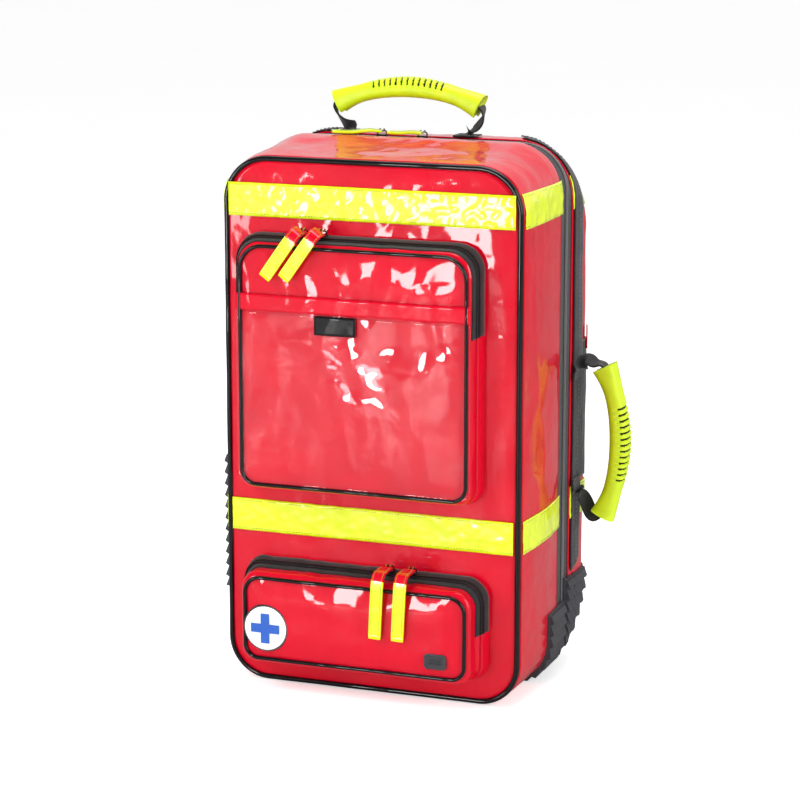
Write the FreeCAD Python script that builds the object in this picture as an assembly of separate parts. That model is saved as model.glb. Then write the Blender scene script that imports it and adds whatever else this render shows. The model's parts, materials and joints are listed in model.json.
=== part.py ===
import FreeCAD, Part
import math
import os

# Trauma backpack. Millimetres, +X to the right, +Y towards the wearer's back, +Z up.
# The origin is the centre of the base, on the floor.

V = FreeCAD.Vector

# Whole bag
HALF_W = 170.0  # half the width of the body
TOP = 584.0  # height of the front panel
RISE = 8.0  # how much the body domes above the front panel
FRONT_Y = -115.0
REAR_Y = 115.0
SPLIT_Y = 35.0  # main zip, and the hinge line at the floor
CREST_Y = -10.0  # where the top reaches its full height
R_TOP = 50.0
R_BASE = 46.0
R_REAR_LOW = 90.0  # rear lower edge, rounded so that the bag can be tipped back
R_REAR_TOP = 40.0
SKIN = 2.0
GAP = 0.2  # running gap between neighbouring pieces
FAR = 400.0  # beyond the bag in every sideways direction

# Main zip
ZIP_LOW = 50.0  # lower ends of the zip, behind the corner guards
ZIP_TAPE_HALF = 31.0
ZIP_COIL_HALF = 3.3
GUSSET_TO_SPLIT = 20.0  # bare zip between the gusset's edge and the split

# Trim
PIPE_R = 3.0
PANEL_T = 2.5
BAND_T = 1.2
UPPER_BAND = (519.0, 555.0)
LOWER_BAND = (170.0, 206.0)
SIDE_BAND_Y = (57.0, 83.0)

# Corner guards and skid
GUARD_TOP_FRONT = 78.0
GUARD_TOP_REAR = 104.0
GUARD_FRONT_Y = -41.0
GUARD_INNER_X = 100.0
RIB_PITCH = 13.0
RIB_LOW = 3.0
RIB_HIGH = 7.0
SKID_Z = (98.0, 254.0)
SKID_Y = (-110.0, -42.0)

# Pockets: x and z ranges, face, hinge height of the flap, lower ends of the zip, lower and upper
# corner radii seen from the front, radius of the face's edges
POCKET_BACK_Y = FRONT_Y - 3.2
UPPER_POCKET = dict(
    x=(-150.0, 130.0),
    z=(224.0, 503.0),
    front=-145.0,
    hinge=441.0,
    zip_low=441.0,
    r=(18.0, 28.0),
    edge=4.0,
)
LOWER_POCKET = dict(
    x=(-145.0, 137.0),
    z=(30.0, 143.0),
    front=-159.0,
    hinge=43.0,
    zip_low=84.0,
    r=(20.0, 24.0),
    edge=16.0,
)
POCKET_SKIN = 1.6
FLANGE = 7.0
POCKET_TAPE = 9.0
POCKET_CORD_R = 1.9
POCKET_CORD_OUT = 2.0  # how far the cord's centre stands in front of the pocket's face
WINDOW_T = 1.0
WINDOW_TOP = 421.5
WINDOW_TRIM_Z = (422.0, 440.0)
LABEL_X = (-51.0, -4.0)
LABEL_Z = (400.0, 420.5)

# Badge and tag on the lower pocket
BADGE_X = -105.0
BADGE_Z = 74.0
BADGE_R = (26.5, 24.0)  # backing, disc
TAG_X = (79.0, 104.0)
TAG_Z = (49.0, 66.0)
TAG_T = 2.0

# Inside
MESH_POCKET_X = 135.0
MESH_POCKET_Z = (60.0, 300.0)
MESH_POCKET_Y = (FRONT_Y + 7.5, FRONT_Y + 20.0)
RETENTION_Z = (220.0, 400.0)
RETENTION_W = 38.0
RETENTION_X = 130.0

# Handles
TOP_HANDLE = dict(centre=-24.0, sag=0.0, across=62.0, base=TOP + RISE)
SIDE_HANDLE = dict(centre=272.0, sag=12.0, across=64.0, base=HALF_W)
FOOT_HALF_SPAN = 70.0
GRIP_HALF_LENGTH = 84.0
GRIP_RISE = 20.0  # how much the grip arches
GRIP_TOP = 64.0  # outermost point above the bag
GRIP_SIZE = (26.0, 22.0)
GRIP_SLOTS = 13
GRIP_SLOT_PITCH = 6.6
WEBBING = (25.0, 2.4)
HANDLE_WEBBING_W = 17.0  # folded narrower inside the grip
HANDLE_PIVOT = 10.5  # height of the fold line above the bag, so that the rounded feet clear it
SIDE_HANDLE_STANDOFF = 3.0
SLOT_WIDTH = 2.2
SLOT_DEPTH = 3.2
FOOT_PATCH = 22.0
PATCH_Y = (84.0, 112.0)
PATCH_Z = (212.0, 368.0)

# Sliders and pull tabs
SLIDER = (13.0, 11.0, 2.4)
BAR_R = 1.0
RING_R = (1.4, 3.0)
BAR_LIFT = 3.6
TAB = (14.0, 2.4)
TAB_START = 7.0  # distance from the bar to the webbing of the tab
TAB_PIVOT = 9.6  # distance from the bar to the point that the tab swings about
MAIN_SLIDERS = (-46.0, 2.0)
UPPER_SLIDERS = (-70.0, -48.0)
LOWER_SLIDERS = (28.0, 54.0)
UPPER_PULL = [(20, -1), (21, -62)]  # (forward, up) steps from the bar
LOWER_PULL = [(33, -1), (35, -72)]

# Harness on the back
STRAP_X = 62.0
STRAP_SIZE = (64.0, 12.0)
STRAP_TOP_Z = 522.0
STRAP_LOW_Z = 250.0
STRAP_Y = 134.5
STERNUM_Z = 420.0
BELT_Z = 112.0
BELT_Y = 137.0
BELT_PIVOT_X = 142.0
PAD_T = 11.0
PAD_X = (14.0, 142.0)
SHOULDER_PAD_Z = (322.0, 505.0)
LUMBAR_PAD_Z = (155.0, 308.0)
LADDER_LOCK = (34.0, 6.0, 35.0)
STERNUM_WEB = (20.0, 2.0)
STERNUM_CLEARANCE = 5.0  # from the strap's edge to the pivot of the sternum webbing
BELT_SIZE = (8.0, 70.0)
BELT_PAD_END = 58.0
BUCKLE = (26.0, 8.0, 22.0)  # length of each half, thickness, height
BUCKLE_MEETING = 0.6  # half of the gap between the two halves


def rounded_wire(x0, x1, z0, z1, r_low, r_high, y):
    """Rounded rectangle in the plane at y, with its own radii for the lower and upper corners."""

    def arc(cx, cz, r, start):
        angles = [math.radians(start + step) for step in (0, 45, 90)]
        return Part.Arc(*[V(cx + r * math.cos(a), y, cz + r * math.sin(a)) for a in angles]).toShape()

    arcs = [
        arc(x1 - r_low, z0 + r_low, r_low, -90),
        arc(x1 - r_high, z1 - r_high, r_high, 0),
        arc(x0 + r_high, z1 - r_high, r_high, 90),
        arc(x0 + r_low, z0 + r_low, r_low, 180),
    ]
    edges = []
    for before, after in zip(arcs[-1:] + arcs[:-1], arcs):
        edges.append(Part.makeLine(before.lastVertex().Point, after.firstVertex().Point))
        edges.append(after)
    return Part.Wire(edges)


def prism(wire, direction):
    return Part.Face(wire).extrude(direction)


def box(x, y, z):
    """Axis-aligned box from (low, high) pairs."""
    return Part.makeBox(x[1] - x[0], y[1] - y[0], z[1] - z[0], V(x[0], y[0], z[0]))


def slab(y=(-FAR, FAR), z=(-FAR, 2 * FAR), x=(-FAR, FAR)):
    return box(x, y, z)


def polygon(points):
    return Part.makePolygon(list(points) + [points[0]])


def bead(path, radius):
    """Round cord along a closed wire."""
    edge = path.Edges[0]
    start = edge.valueAt(edge.FirstParameter)
    along = edge.tangentAt(edge.FirstParameter)
    section = Part.Wire([Part.makeCircle(radius, start, along)])
    return path.makePipeShell([section], True, True)


def mirror_x(shape):
    return shape.mirror(V(0, 0, 0), V(1, 0, 0))


def body_wire(offset, y, rise=RISE):
    return rounded_wire(
        -HALF_W - offset, HALF_W + offset, -offset, TOP + rise + offset, R_BASE + offset, R_TOP + offset, y
    )


def front_solid(offset):
    """The front half's outer form, grown by offset, from the front panel to well past the zip."""
    taper = Part.makeLoft([body_wire(offset, FRONT_Y, 0), body_wire(offset, CREST_Y)], True, True)
    straight = prism(body_wire(offset, CREST_Y), V(0, SPLIT_Y - CREST_Y + 40, 0))
    return taper.fuse(straight).removeSplitter()


def side_profile(offset):
    """Side view of the rear half: square at the zip, rounded at its rear lower and rear upper edges."""
    low, high, rear = -offset, TOP + RISE + offset, REAR_Y + offset
    r_low, r_top = R_REAR_LOW + offset, R_REAR_TOP + offset
    start = SPLIT_Y - 60
    slant = math.sqrt(0.5)
    edges = [
        Part.makeLine(V(0, start, low), V(0, rear - r_low, low)),
        Part.Arc(
            V(0, rear - r_low, low),
            V(0, rear - r_low * (1 - slant), low + r_low * (1 - slant)),
            V(0, rear, low + r_low),
        ).toShape(),
        Part.makeLine(V(0, rear, low + r_low), V(0, rear, high - r_top)),
        Part.Arc(
            V(0, rear, high - r_top),
            V(0, rear - r_top * (1 - slant), high - r_top * (1 - slant)),
            V(0, rear - r_top, high),
        ).toShape(),
        Part.makeLine(V(0, rear - r_top, high), V(0, start, high)),
        Part.makeLine(V(0, start, high), V(0, start, low)),
    ]
    solid = prism(Part.Wire(edges), V(2 * FAR, 0, 0))
    solid.translate(V(-FAR, 0, 0))
    return solid


def rear_solid(offset):
    straight = prism(body_wire(offset, SPLIT_Y - 30), V(0, REAR_Y + offset - SPLIT_Y + 30, 0))
    return straight.common(side_profile(offset))


def skin(solid, outer, inner):
    return solid(outer).cut(solid(inner))


# ---------------------------------------------------------------- body shells


def gusset(solid, far_y, split_y, edge_y):
    """Tarpaulin wall: it stops short of the zip, and reaches the hinge line below the zip's ends."""
    wall = skin(solid, 0, -SKIN)
    above = wall.common(slab(y=sorted((far_y, edge_y)), z=(ZIP_LOW, 2 * FAR)))
    below = wall.common(slab(y=sorted((far_y, split_y)), z=(-1, ZIP_LOW)))
    return above.fuse(below).removeSplitter()


def zip_half(solid, sign):
    """Woven tape tucked under the gusset's edge, with half of the coil along the split."""
    edge = SPLIT_Y + sign * GAP
    tape = skin(solid, -SKIN - GAP, -SKIN - 1.2).common(slab(y=sorted((edge, edge + sign * ZIP_TAPE_HALF))))
    coil = skin(solid, -0.4, -SKIN - 1.2).common(slab(y=sorted((edge, edge + sign * ZIP_COIL_HALF))))
    above_guard = slab(z=(ZIP_LOW + 0.4, 2 * FAR))
    return tape.fuse(coil).removeSplitter().common(above_guard)


def back_outline(inset, y):
    reach = HALF_W - 12 - inset
    low = R_REAR_LOW + 2 + inset
    high = TOP + RISE - R_REAR_TOP - 2 - inset
    return rounded_wire(-reach, reach, low, high, 30 - inset, 30 - inset, y)


def rear_gusset():
    wall = gusset(rear_solid, REAR_Y + 1, SPLIT_Y + GAP, SPLIT_Y + GUSSET_TO_SPLIT - 1)
    opening = prism(back_outline(0, REAR_Y - 20), V(0, 40, 0))
    return wall.cut(opening)


def back_panel():
    return prism(back_outline(GAP, REAR_Y - SKIN), V(0, SKIN, 0))


def rear_piping():
    return bead(back_outline(-3, REAR_Y + 2.4), 2.2)


def frame_sheet():
    outline = rounded_wire(-150, 150, 96, 540, 25, 25, REAR_Y - 5.5)
    return prism(outline, V(0, 2, 0))


def front_outline(inset, y):
    return rounded_wire(
        -HALF_W + inset, HALF_W - inset, inset, TOP - inset, R_BASE - inset, R_TOP - inset, y
    )


def front_panel():
    outline = front_outline(2 * PIPE_R + GAP, FRONT_Y - PANEL_T + 1)
    return prism(outline, V(0, PANEL_T, 0))


def front_foam():
    return prism(front_outline(10, FRONT_Y + 2), V(0, 5, 0))


def front_piping():
    return bead(front_outline(PIPE_R, FRONT_Y), PIPE_R)


def reflective_bands(solid, y0, y1):
    """Wings on both sides of one half, at both heights."""
    wrap = skin(solid, BAND_T + GAP, GAP).common(slab(y=(y0, y1)))
    pieces = []
    for z in (UPPER_BAND, LOWER_BAND):
        for x in ((-FAR, -60), (60, FAR)):
            pieces.append(wrap.common(slab(x=x, z=z)))
    return Part.makeCompound(pieces)


def front_bands():
    wings = reflective_bands(front_solid, FRONT_Y + PIPE_R + 0.5, SPLIT_Y - GUSSET_TO_SPLIT)
    panel_y = FRONT_Y - PANEL_T + 1 - GAP
    sheet = prism(front_outline(2 * PIPE_R + GAP, panel_y - BAND_T), V(0, BAND_T, 0))
    across = [sheet.common(slab(z=z)) for z in (UPPER_BAND, LOWER_BAND)]
    return Part.makeCompound(wings.Solids + across)


def side_bands():
    """Black woven band down each side of the rear half, starting on top of the shoulder."""
    wrap = skin(rear_solid, 2 * BAND_T + 2 * GAP, BAND_T + 2 * GAP).common(slab(y=SIDE_BAND_Y))
    sides = [wrap.common(slab(x=x, z=(GUARD_TOP_REAR + 2, 2 * FAR))) for x in ((-FAR, -112), (112, FAR))]
    return Part.makeCompound(sides)


# ---------------------------------------------------------------- guards and skid


def wall_point(run, offset, top):
    """Point on the body's cross-section, run mm down from top along the wall and round the base corner."""
    straight = top - R_BASE
    if run <= straight:
        return HALF_W + offset, top - run
    angle = (run - straight) / R_BASE
    reach = min(R_BASE + offset, R_BASE / math.sin(angle))
    return HALF_W - R_BASE + reach * math.cos(angle), R_BASE - reach * math.sin(angle)


def ribbed_section(top, length, inner_x, y):
    """Sawtooth outline: each rib leans outwards as it goes down, then cuts back in."""
    points = []
    for tooth in range(int(length / RIB_PITCH)):
        start = tooth * RIB_PITCH
        points.append(wall_point(start, RIB_LOW, top))
        points.append(wall_point(start + 0.8 * RIB_PITCH, RIB_HIGH, top))
    last_x, last_z = wall_point(length, RIB_LOW, top)
    points.append((last_x, last_z))
    points.append((inner_x, last_z))
    points.append((inner_x, top))
    return polygon([V(x, y, z) for x, z in points])


def guards(solid, top, y0, y1):
    """Left and right ribbed rubber guard wrapped round the base corner."""
    length = top - R_BASE + math.radians(88) * R_BASE
    blank = prism(ribbed_section(top, length, GUARD_INNER_X, y0), V(0, y1 - y0, 0))
    right = blank.common(side_profile(4)).cut(solid(GAP)).common(slab(z=(0, top)))
    right = max(right.Solids, key=lambda s: s.Volume)
    return Part.makeCompound([mirror_x(right), right])


def side_skid():
    """Ribbed rubber pad low on the left wall, where the bag lies when carried by its side handle."""
    length = SKID_Z[1] - SKID_Z[0]
    section = ribbed_section(SKID_Z[1], length, HALF_W - 20, SKID_Y[0])
    blank = prism(section, V(0, SKID_Y[1] - SKID_Y[0], 0))
    band_room = front_solid(BAND_T + 2 * GAP).common(slab(z=(LOWER_BAND[0] - GAP, LOWER_BAND[1] + GAP)))
    return mirror_x(blank.cut([front_solid(GAP), band_room]))


# ---------------------------------------------------------------- pockets


def pocket_solid(pocket, inset):
    """Pocket form shrunk by inset: rounded seen from the front, with rounded edges at its face."""
    x0, x1 = pocket["x"]
    z0, z1 = pocket["z"]
    r_low, r_high = pocket["r"]
    front = pocket["front"] + inset
    wire = rounded_wire(
        x0 + inset, x1 - inset, z0 + inset, z1 - inset, r_low - inset, r_high - inset, front
    )
    block = prism(wire, V(0, POCKET_BACK_Y - front, 0))
    edge = pocket["edge"]
    ends = [
        e
        for e in block.Edges
        if abs(e.BoundBox.YMax - front) < 0.01 and abs(e.BoundBox.YMin - front) < 0.01
    ]
    return block.makeFillet(max(edge - inset, 0.8), ends)


def pocket_skin(pocket):
    inner = pocket_solid(pocket, POCKET_SKIN)
    return pocket_solid(pocket, 0).cut(inner)


def pocket_zones(pocket):
    """The y ranges of the sewn flange, the fixed tape and the moving tape above the flap's hinge."""
    flange = POCKET_BACK_Y - FLANGE
    split = flange - POCKET_TAPE
    face = split - POCKET_TAPE
    return flange, split, face


def pocket_gusset(pocket):
    """Wall and face below the flap's hinge, wall up to the split beside the flap, and only the flange
    along the zip."""
    wall = pocket_skin(pocket)
    flange, split, _ = pocket_zones(pocket)
    below = wall.common(slab(z=(0, pocket["hinge"] - GAP)))
    beside = wall.common(slab(y=(split + GAP / 2, FAR), z=(pocket["hinge"] - GAP, pocket["zip_low"])))
    along = wall.common(slab(y=(flange, FAR), z=(pocket["zip_low"], FAR * 2)))
    return below.fuse([beside, along]).removeSplitter()


def pocket_fixed_tape(pocket):
    flange, split, _ = pocket_zones(pocket)
    above = slab(y=(split + GAP / 2, flange - GAP / 2), z=(pocket["zip_low"] + GAP, FAR * 2))
    return pocket_skin(pocket).common(above)


def pocket_flap_tape(pocket):
    _, split, face = pocket_zones(pocket)
    above = slab(y=(face + GAP / 2, split - GAP / 2), z=(pocket["zip_low"] + GAP, FAR * 2))
    return pocket_skin(pocket).common(above)


def pocket_piping(pocket, radius=POCKET_CORD_R):
    """Cord round the pocket's face, sitting on the face just inside its rounded edge."""
    x0, x1 = pocket["x"]
    z0, z1 = pocket["z"]
    inset = pocket["edge"]
    r_low, r_high = [max(r - inset, 5) for r in pocket["r"]]
    y = pocket["front"] - POCKET_CORD_OUT
    path = rounded_wire(x0 + inset, x1 - inset, z0 + inset, z1 - inset, r_low, r_high, y)
    return bead(path, radius)


def pocket_flap(pocket):
    """Face above the hinge with its length of piping, which starts where it clears the folded face."""
    _, split, face = pocket_zones(pocket)
    wall = pocket_skin(pocket)
    low = pocket["hinge"] + GAP
    sheet = wall.common(slab(y=(-FAR, face - GAP / 2), z=(low, FAR * 2)))
    if pocket["zip_low"] > low:
        beside = slab(y=(-FAR, split - GAP / 2), z=(low, pocket["zip_low"]))
        sheet = sheet.fuse(wall.common(beside)).removeSplitter()
    clear = pocket["hinge"] + POCKET_CORD_OUT + POCKET_CORD_R + GAP
    lowest_cord = pocket["z"][0] + pocket["edge"] + POCKET_CORD_R
    cord_low = clear if lowest_cord < pocket["hinge"] else low
    cord = pocket_piping(pocket).common(slab(z=(cord_low, FAR * 2)))
    return Part.makeCompound([sheet, cord])


def pocket_tapes():
    return Part.makeCompound([pocket_fixed_tape(p) for p in (UPPER_POCKET, LOWER_POCKET)])


def window_sheet(z):
    """Sheet lying on the upper pocket's face inside its piping, over the z range."""
    x0, x1 = UPPER_POCKET["x"]
    inset = UPPER_POCKET["edge"] + POCKET_CORD_R + 2 * GAP
    front = UPPER_POCKET["front"] - 2 * GAP
    return box((x0 + inset, x1 - inset), (front - WINDOW_T, front), z)


def window():
    """Clear sheet with its lower corners rounded inside the piping."""
    sheet = window_sheet((UPPER_POCKET["z"][0] + 6.4, WINDOW_TOP))
    low = sheet.BoundBox.ZMin + 0.01
    corners = [e for e in sheet.Edges if e.BoundBox.YLength > WINDOW_T - 0.01 and e.BoundBox.ZMax < low]
    return sheet.makeFillet(UPPER_POCKET["r"][0] - UPPER_POCKET["edge"] - 2, corners)


def window_trim():
    return window_sheet(WINDOW_TRIM_Z)


def window_label():
    back = UPPER_POCKET["front"] - WINDOW_T - 3 * GAP
    return box(LABEL_X, (back - 1.2, back), LABEL_Z)


def badge_plate(radius, y0, y1):
    return Part.makeCylinder(radius, y1 - y0, V(BADGE_X, y0, BADGE_Z), V(0, 1, 0))


def badge_faces():
    """The y of the badge's back, of its seam and of its front. It overlaps the piping beside it."""
    back = LOWER_POCKET["front"] - GAP
    seam = back - POCKET_CORD_OUT - POCKET_CORD_R - GAP
    return back, seam, seam - 1.4


def badge_backing():
    back, seam, _ = badge_faces()
    return badge_plate(BADGE_R[0], seam, back).cut(pocket_piping(LOWER_POCKET, POCKET_CORD_R + GAP))


def badge_disc():
    _, seam, front = badge_faces()
    return badge_plate(BADGE_R[1], front, seam - GAP)


def maker_tag():
    """Blank rubber tag with a rounded outline."""
    outline = rounded_wire(*TAG_X, *TAG_Z, 4, 4, LOWER_POCKET["front"] - GAP - TAG_T)
    return prism(outline, V(0, TAG_T, 0))


# ---------------------------------------------------------------- inside


def lid_mesh_pocket():
    """Flat mesh pocket on the lid's inner face, open at its top."""
    (y0, y1), (z0, z1) = MESH_POCKET_Y, MESH_POCKET_Z
    outer = box((-MESH_POCKET_X, MESH_POCKET_X), (y0, y1), (z0, z1))
    inner = box((-MESH_POCKET_X + 1, MESH_POCKET_X - 1), (y0 + 1, y1 - 1), (z0 + 1, z1 + 1))
    return outer.cut(inner)


def retention_straps():
    """Two elastic straps across the back, each bowed off the frame sheet between its sewn ends."""
    straps = []
    reach = RETENTION_X - 10
    for z in RETENTION_Z:
        outer = box((-RETENTION_X, RETENTION_X), (REAR_Y - 14, REAR_Y - 6), (z, z + RETENTION_W))
        inner = box((-reach, reach), (REAR_Y - 12, REAR_Y), (z - 1, z + RETENTION_W + 1))
        straps.append(outer.cut(inner))
    return Part.makeCompound(straps)


# ---------------------------------------------------------------- sliders and pulls


def slider(x, y, z):
    """Slider standing on the coil at (x, y, z): plate, two posts and the bar that the pull rides on."""
    length, width, thick = SLIDER
    plate = box((x - length / 2, x + length / 2), (y - width / 2, y + width / 2), (z, z + thick))
    bar_z = z + thick + BAR_LIFT
    post = 2.0
    posts = [
        box((x + s - post / 2, x + s + post / 2), (y - 2, y + 2), (z + thick - 0.1, bar_z + BAR_R))
        for s in (-length / 2 + post / 2, length / 2 - post / 2)
    ]
    bar = Part.makeCylinder(BAR_R, length - post, V(x - length / 2 + post / 2, y, bar_z), V(1, 0, 0))
    return plate.fuse(posts + [bar]).removeSplitter()


def pull(x, y, z, profile, swing=0.0, lean=0.0):
    """Pull tab on a slider's bar. profile lists (forward, up) steps from the bar; swing turns the tab
    in plan and lean turns it in the face of the bag, both about the bar."""
    bar_z = z + SLIDER[2] + BAR_LIFT
    width, thick = TAB
    ring_width = 6.0
    ring = Part.makeCylinder(RING_R[1], ring_width, V(x - ring_width / 2, y, bar_z), V(1, 0, 0))
    hole = Part.makeCylinder(RING_R[0], 2 * FAR, V(-FAR, y, bar_z), V(1, 0, 0))
    half_neck = 2.5
    neck_y = (y - TAB_PIVOT - 1, y - RING_R[0])
    neck = box((x - half_neck, x + half_neck), neck_y, (bar_z - thick / 2, bar_z + thick / 2))
    outline = strip_outline([(TAB_START, 0.0)] + profile, thick)
    tab = prism(polygon([V(x - width / 2, y - f, bar_z + u) for f, u in outline]), V(width, 0, 0))
    pivot = V(x, y - TAB_PIVOT, bar_z)
    tab.rotate(pivot, V(0, 0, 1), swing)
    tab.rotate(pivot, V(0, 1, 0), lean)
    return ring.fuse([neck, tab]).removeSplitter().cut(hole)


def strip_outline(path, thick):
    """Closed (forward, up) outline of a strip of constant thickness along path."""
    left, right = [], []
    for i, (f, u) in enumerate(path):
        before = path[max(i - 1, 0)]
        after = path[min(i + 1, len(path) - 1)]
        df, du = after[0] - before[0], after[1] - before[1]
        size = math.hypot(df, du)
        nf, nu = -du / size * thick / 2, df / size * thick / 2
        left.append((f + nf, u + nu))
        right.append((f - nf, u - nu))
    return left + right[::-1]


# ---------------------------------------------------------------- handles


def arc_through(half, rise, height, across):
    """Arc over +-half in x, bulging up by rise to height, in the plane at y = across."""
    return Part.Arc(
        V(-half, across, height - rise), V(0, across, height), V(half, across, height - rise)
    ).toShape()


def along_spine(width, height, radius):
    """Rounded bar of that section swept along the handle's arch."""
    spine_top = GRIP_TOP - GRIP_SIZE[1] / 2
    spine = Part.Wire([arc_through(GRIP_HALF_LENGTH, GRIP_RISE, spine_top, 0)])
    edge = spine.Edges[0]
    along = edge.tangentAt(edge.FirstParameter)
    section = rounded_wire(-width / 2, width / 2, -height / 2, height / 2, radius, radius, 0)
    section.rotate(V(0, 0, 0), V(0, 0, 1), 90)
    section.rotate(V(0, 0, 0), V(0, 1, 0), -math.degrees(math.atan2(along.z, along.x)))
    section.translate(edge.valueAt(edge.FirstParameter))
    return spine.makePipeShell([section], True, False)


def spine_radius():
    return (GRIP_HALF_LENGTH**2 + GRIP_RISE**2) / (2 * GRIP_RISE)


def handle_grip():
    """Arched rubber grip standing over the origin, along x, with cut slots over its outer side."""
    width, height = GRIP_SIZE
    tunnel = along_spine(WEBBING[0] - 6, WEBBING[1] + 2, 1)
    grip = along_spine(width, height, 10).cut(tunnel)
    centre_z = GRIP_TOP - height / 2 - spine_radius()
    outer = GRIP_TOP - centre_z
    for slot in range(GRIP_SLOTS):
        step = slot - (GRIP_SLOTS - 1) / 2
        half = SLOT_WIDTH / 2
        cutter = box((-half, half), (-width, width), (outer - SLOT_DEPTH, outer + SLOT_DEPTH))
        cutter.rotate(V(0, 0, 0), V(0, 1, 0), math.degrees(step * GRIP_SLOT_PITCH / spine_radius()))
        cutter.translate(V(0, 0, centre_z))
        grip = grip.cut(cutter)
    return grip


def handle_webbing(sag):
    """Webbing through the grip with a leg down to each foot, standing over the origin along x."""
    width, thick = HANDLE_WEBBING_W, WEBBING[1]
    spine_top = GRIP_TOP - GRIP_SIZE[1] / 2
    radius = spine_radius()
    half_angle = math.asin(GRIP_HALF_LENGTH / radius)
    through = []
    for step in range(-8, 9):
        angle = half_angle * step / 8
        through.append((radius * math.sin(angle), spine_top - radius * (1 - math.cos(angle))))
    end_x, end_z = GRIP_HALF_LENGTH + 6, spine_top - GRIP_RISE - 6
    left = [(-FOOT_HALF_SPAN + sag, 1.0), (-FOOT_HALF_SPAN - 10 + sag, 12), (-end_x, end_z)]
    right = [(end_x, end_z), (FOOT_HALF_SPAN + 10 + sag, 12), (FOOT_HALF_SPAN + sag, 1.0)]
    outline = strip_outline(left + through + right, thick)
    webbing = prism(polygon([V(x, -width / 2, z) for x, z in outline]), V(0, width, 0))
    round_foot = Part.makeCylinder(width / 2, 2 * FAR, V(-FAR, 0, HANDLE_PIVOT), V(1, 0, 0))
    return webbing.common(slab(z=(HANDLE_PIVOT, FAR)).fuse(round_foot))


def place_top(shape):
    shape = shape.copy()
    shape.translate(V(TOP_HANDLE["centre"], TOP_HANDLE["across"], TOP_HANDLE["base"]))
    return shape


def place_side(shape):
    """Turns a handle built along x so that it runs down the right wall."""
    shape = shape.copy()
    shape.rotate(V(0, 0, 0), V(0, 1, 0), 90)
    x = SIDE_HANDLE["base"] + SIDE_HANDLE_STANDOFF
    shape.translate(V(x, SIDE_HANDLE["across"], SIDE_HANDLE["centre"] - SIDE_HANDLE["sag"]))
    return shape


def handle_patch():
    """Glossy patch on the right rear wall, with the sewn webbing anchors of both handles."""
    patch = skin(rear_solid, BAND_T + GAP, GAP).common(slab(x=(0, FAR), y=PATCH_Y, z=PATCH_Z))
    half = FOOT_PATCH / 2
    top = TOP + RISE + GAP
    wall = HALF_W + 2 * BAND_T + 3 * GAP
    feet = []
    for sign in (-1, 1):
        x = TOP_HANDLE["centre"] + sign * FOOT_HALF_SPAN
        z = SIDE_HANDLE["centre"] + sign * FOOT_HALF_SPAN
        top_y = TOP_HANDLE["across"]
        side_y = SIDE_HANDLE["across"]
        feet.append(box((x - half, x + half), (top_y - half, top_y + half), (top, top + BAND_T)))
        feet.append(box((wall, wall + 1), (side_y - half, side_y + half), (z - half, z + half)))
    return Part.makeCompound([patch] + feet)


# ---------------------------------------------------------------- harness


def cushion(x, y, z, radius):
    """Flat cushion with rounded corners seen from behind."""
    wire = rounded_wire(x[0], x[1], z[0], z[1], radius, radius, y[0])
    return prism(wire, V(0, y[1] - y[0], 0))


def back_pads():
    """Two shoulder cushions and two lumbar cushions with an air channel between them."""
    pads = []
    for side in (-1, 1):
        x = sorted((side * PAD_X[0], side * PAD_X[1]))
        for z in (SHOULDER_PAD_Z, LUMBAR_PAD_Z):
            pads.append(cushion(x, (REAR_Y + GAP, REAR_Y + PAD_T), z, 22))
    return Part.makeCompound(pads)


def strap_yoke():
    """Sewn block that holds the top ends of both shoulder straps."""
    depth = STRAP_Y + STRAP_SIZE[1] / 2 - REAR_Y
    return cushion((-104, 104), (REAR_Y + GAP, REAR_Y + depth), (STRAP_TOP_Z + 7, STRAP_TOP_Z + 22), 5)


def shoulder_strap(side):
    """Padded strap hanging from the yoke. Its top end is round about the hinge axis."""
    width, thick = STRAP_SIZE
    x = sorted((side * (STRAP_X - width / 2), side * (STRAP_X + width / 2)))
    y = (STRAP_Y - thick / 2, STRAP_Y + thick / 2)
    square_from = STRAP_TOP_Z - 8
    pad = cushion(x, y, (STRAP_LOW_Z, STRAP_TOP_Z), 8).common(slab(z=(STRAP_LOW_Z, square_from)))
    neck = box(x, y, (square_from, STRAP_TOP_Z))
    knuckle = Part.makeCylinder(thick / 2, width, V(x[0], STRAP_Y, STRAP_TOP_Z), V(1, 0, 0))
    return pad.fuse([neck, knuckle]).removeSplitter()


def ladder_lock(side):
    """Adjuster below the padded strap: a frame with three slots for the webbing."""
    width, thick, height = LADDER_LOCK
    x = side * STRAP_X
    y = (STRAP_Y - thick / 2, STRAP_Y + thick / 2)
    z0 = STRAP_LOW_Z - 1 - height
    frame = cushion((x - width / 2, x + width / 2), y, (z0, z0 + height), 3)
    slot_height = 6
    slot_half = width / 2 - 4
    for low in (z0 + 4, z0 + 14, z0 + 25):
        frame = frame.cut(box((x - slot_half, x + slot_half), y, (low, low + slot_height)))
    return frame


def upright_plate(ends, y, depth):
    """Plate with level ends, each given as (centre x, z, half width)."""
    (x0, z0, half0), (x1, z1, half1) = ends
    corners = [(x0 - half0, z0), (x0 + half0, z0), (x1 + half1, z1), (x1 - half1, z1)]
    return prism(polygon([V(x, y, z) for x, z in corners]), V(0, depth, 0))


def lower_webbings():
    """Webbing from the base of the back up to each ladder lock, with the sewn wedge it starts from."""
    pieces = []
    half = WEBBING[0] / 2
    webbing_y = 129
    wedge_y = REAR_Y + 5
    for side in (-1, 1):
        low_x = side * 120
        strip = upright_plate([(low_x, 98, half), (side * STRAP_X, STRAP_LOW_Z - 38, half)], webbing_y, 2)
        wedge = upright_plate([(low_x, 97, 20), (low_x, 125, 13)], wedge_y, 11)
        pieces.append(strip.fuse(wedge).removeSplitter())
    return Part.makeCompound(pieces)


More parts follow.
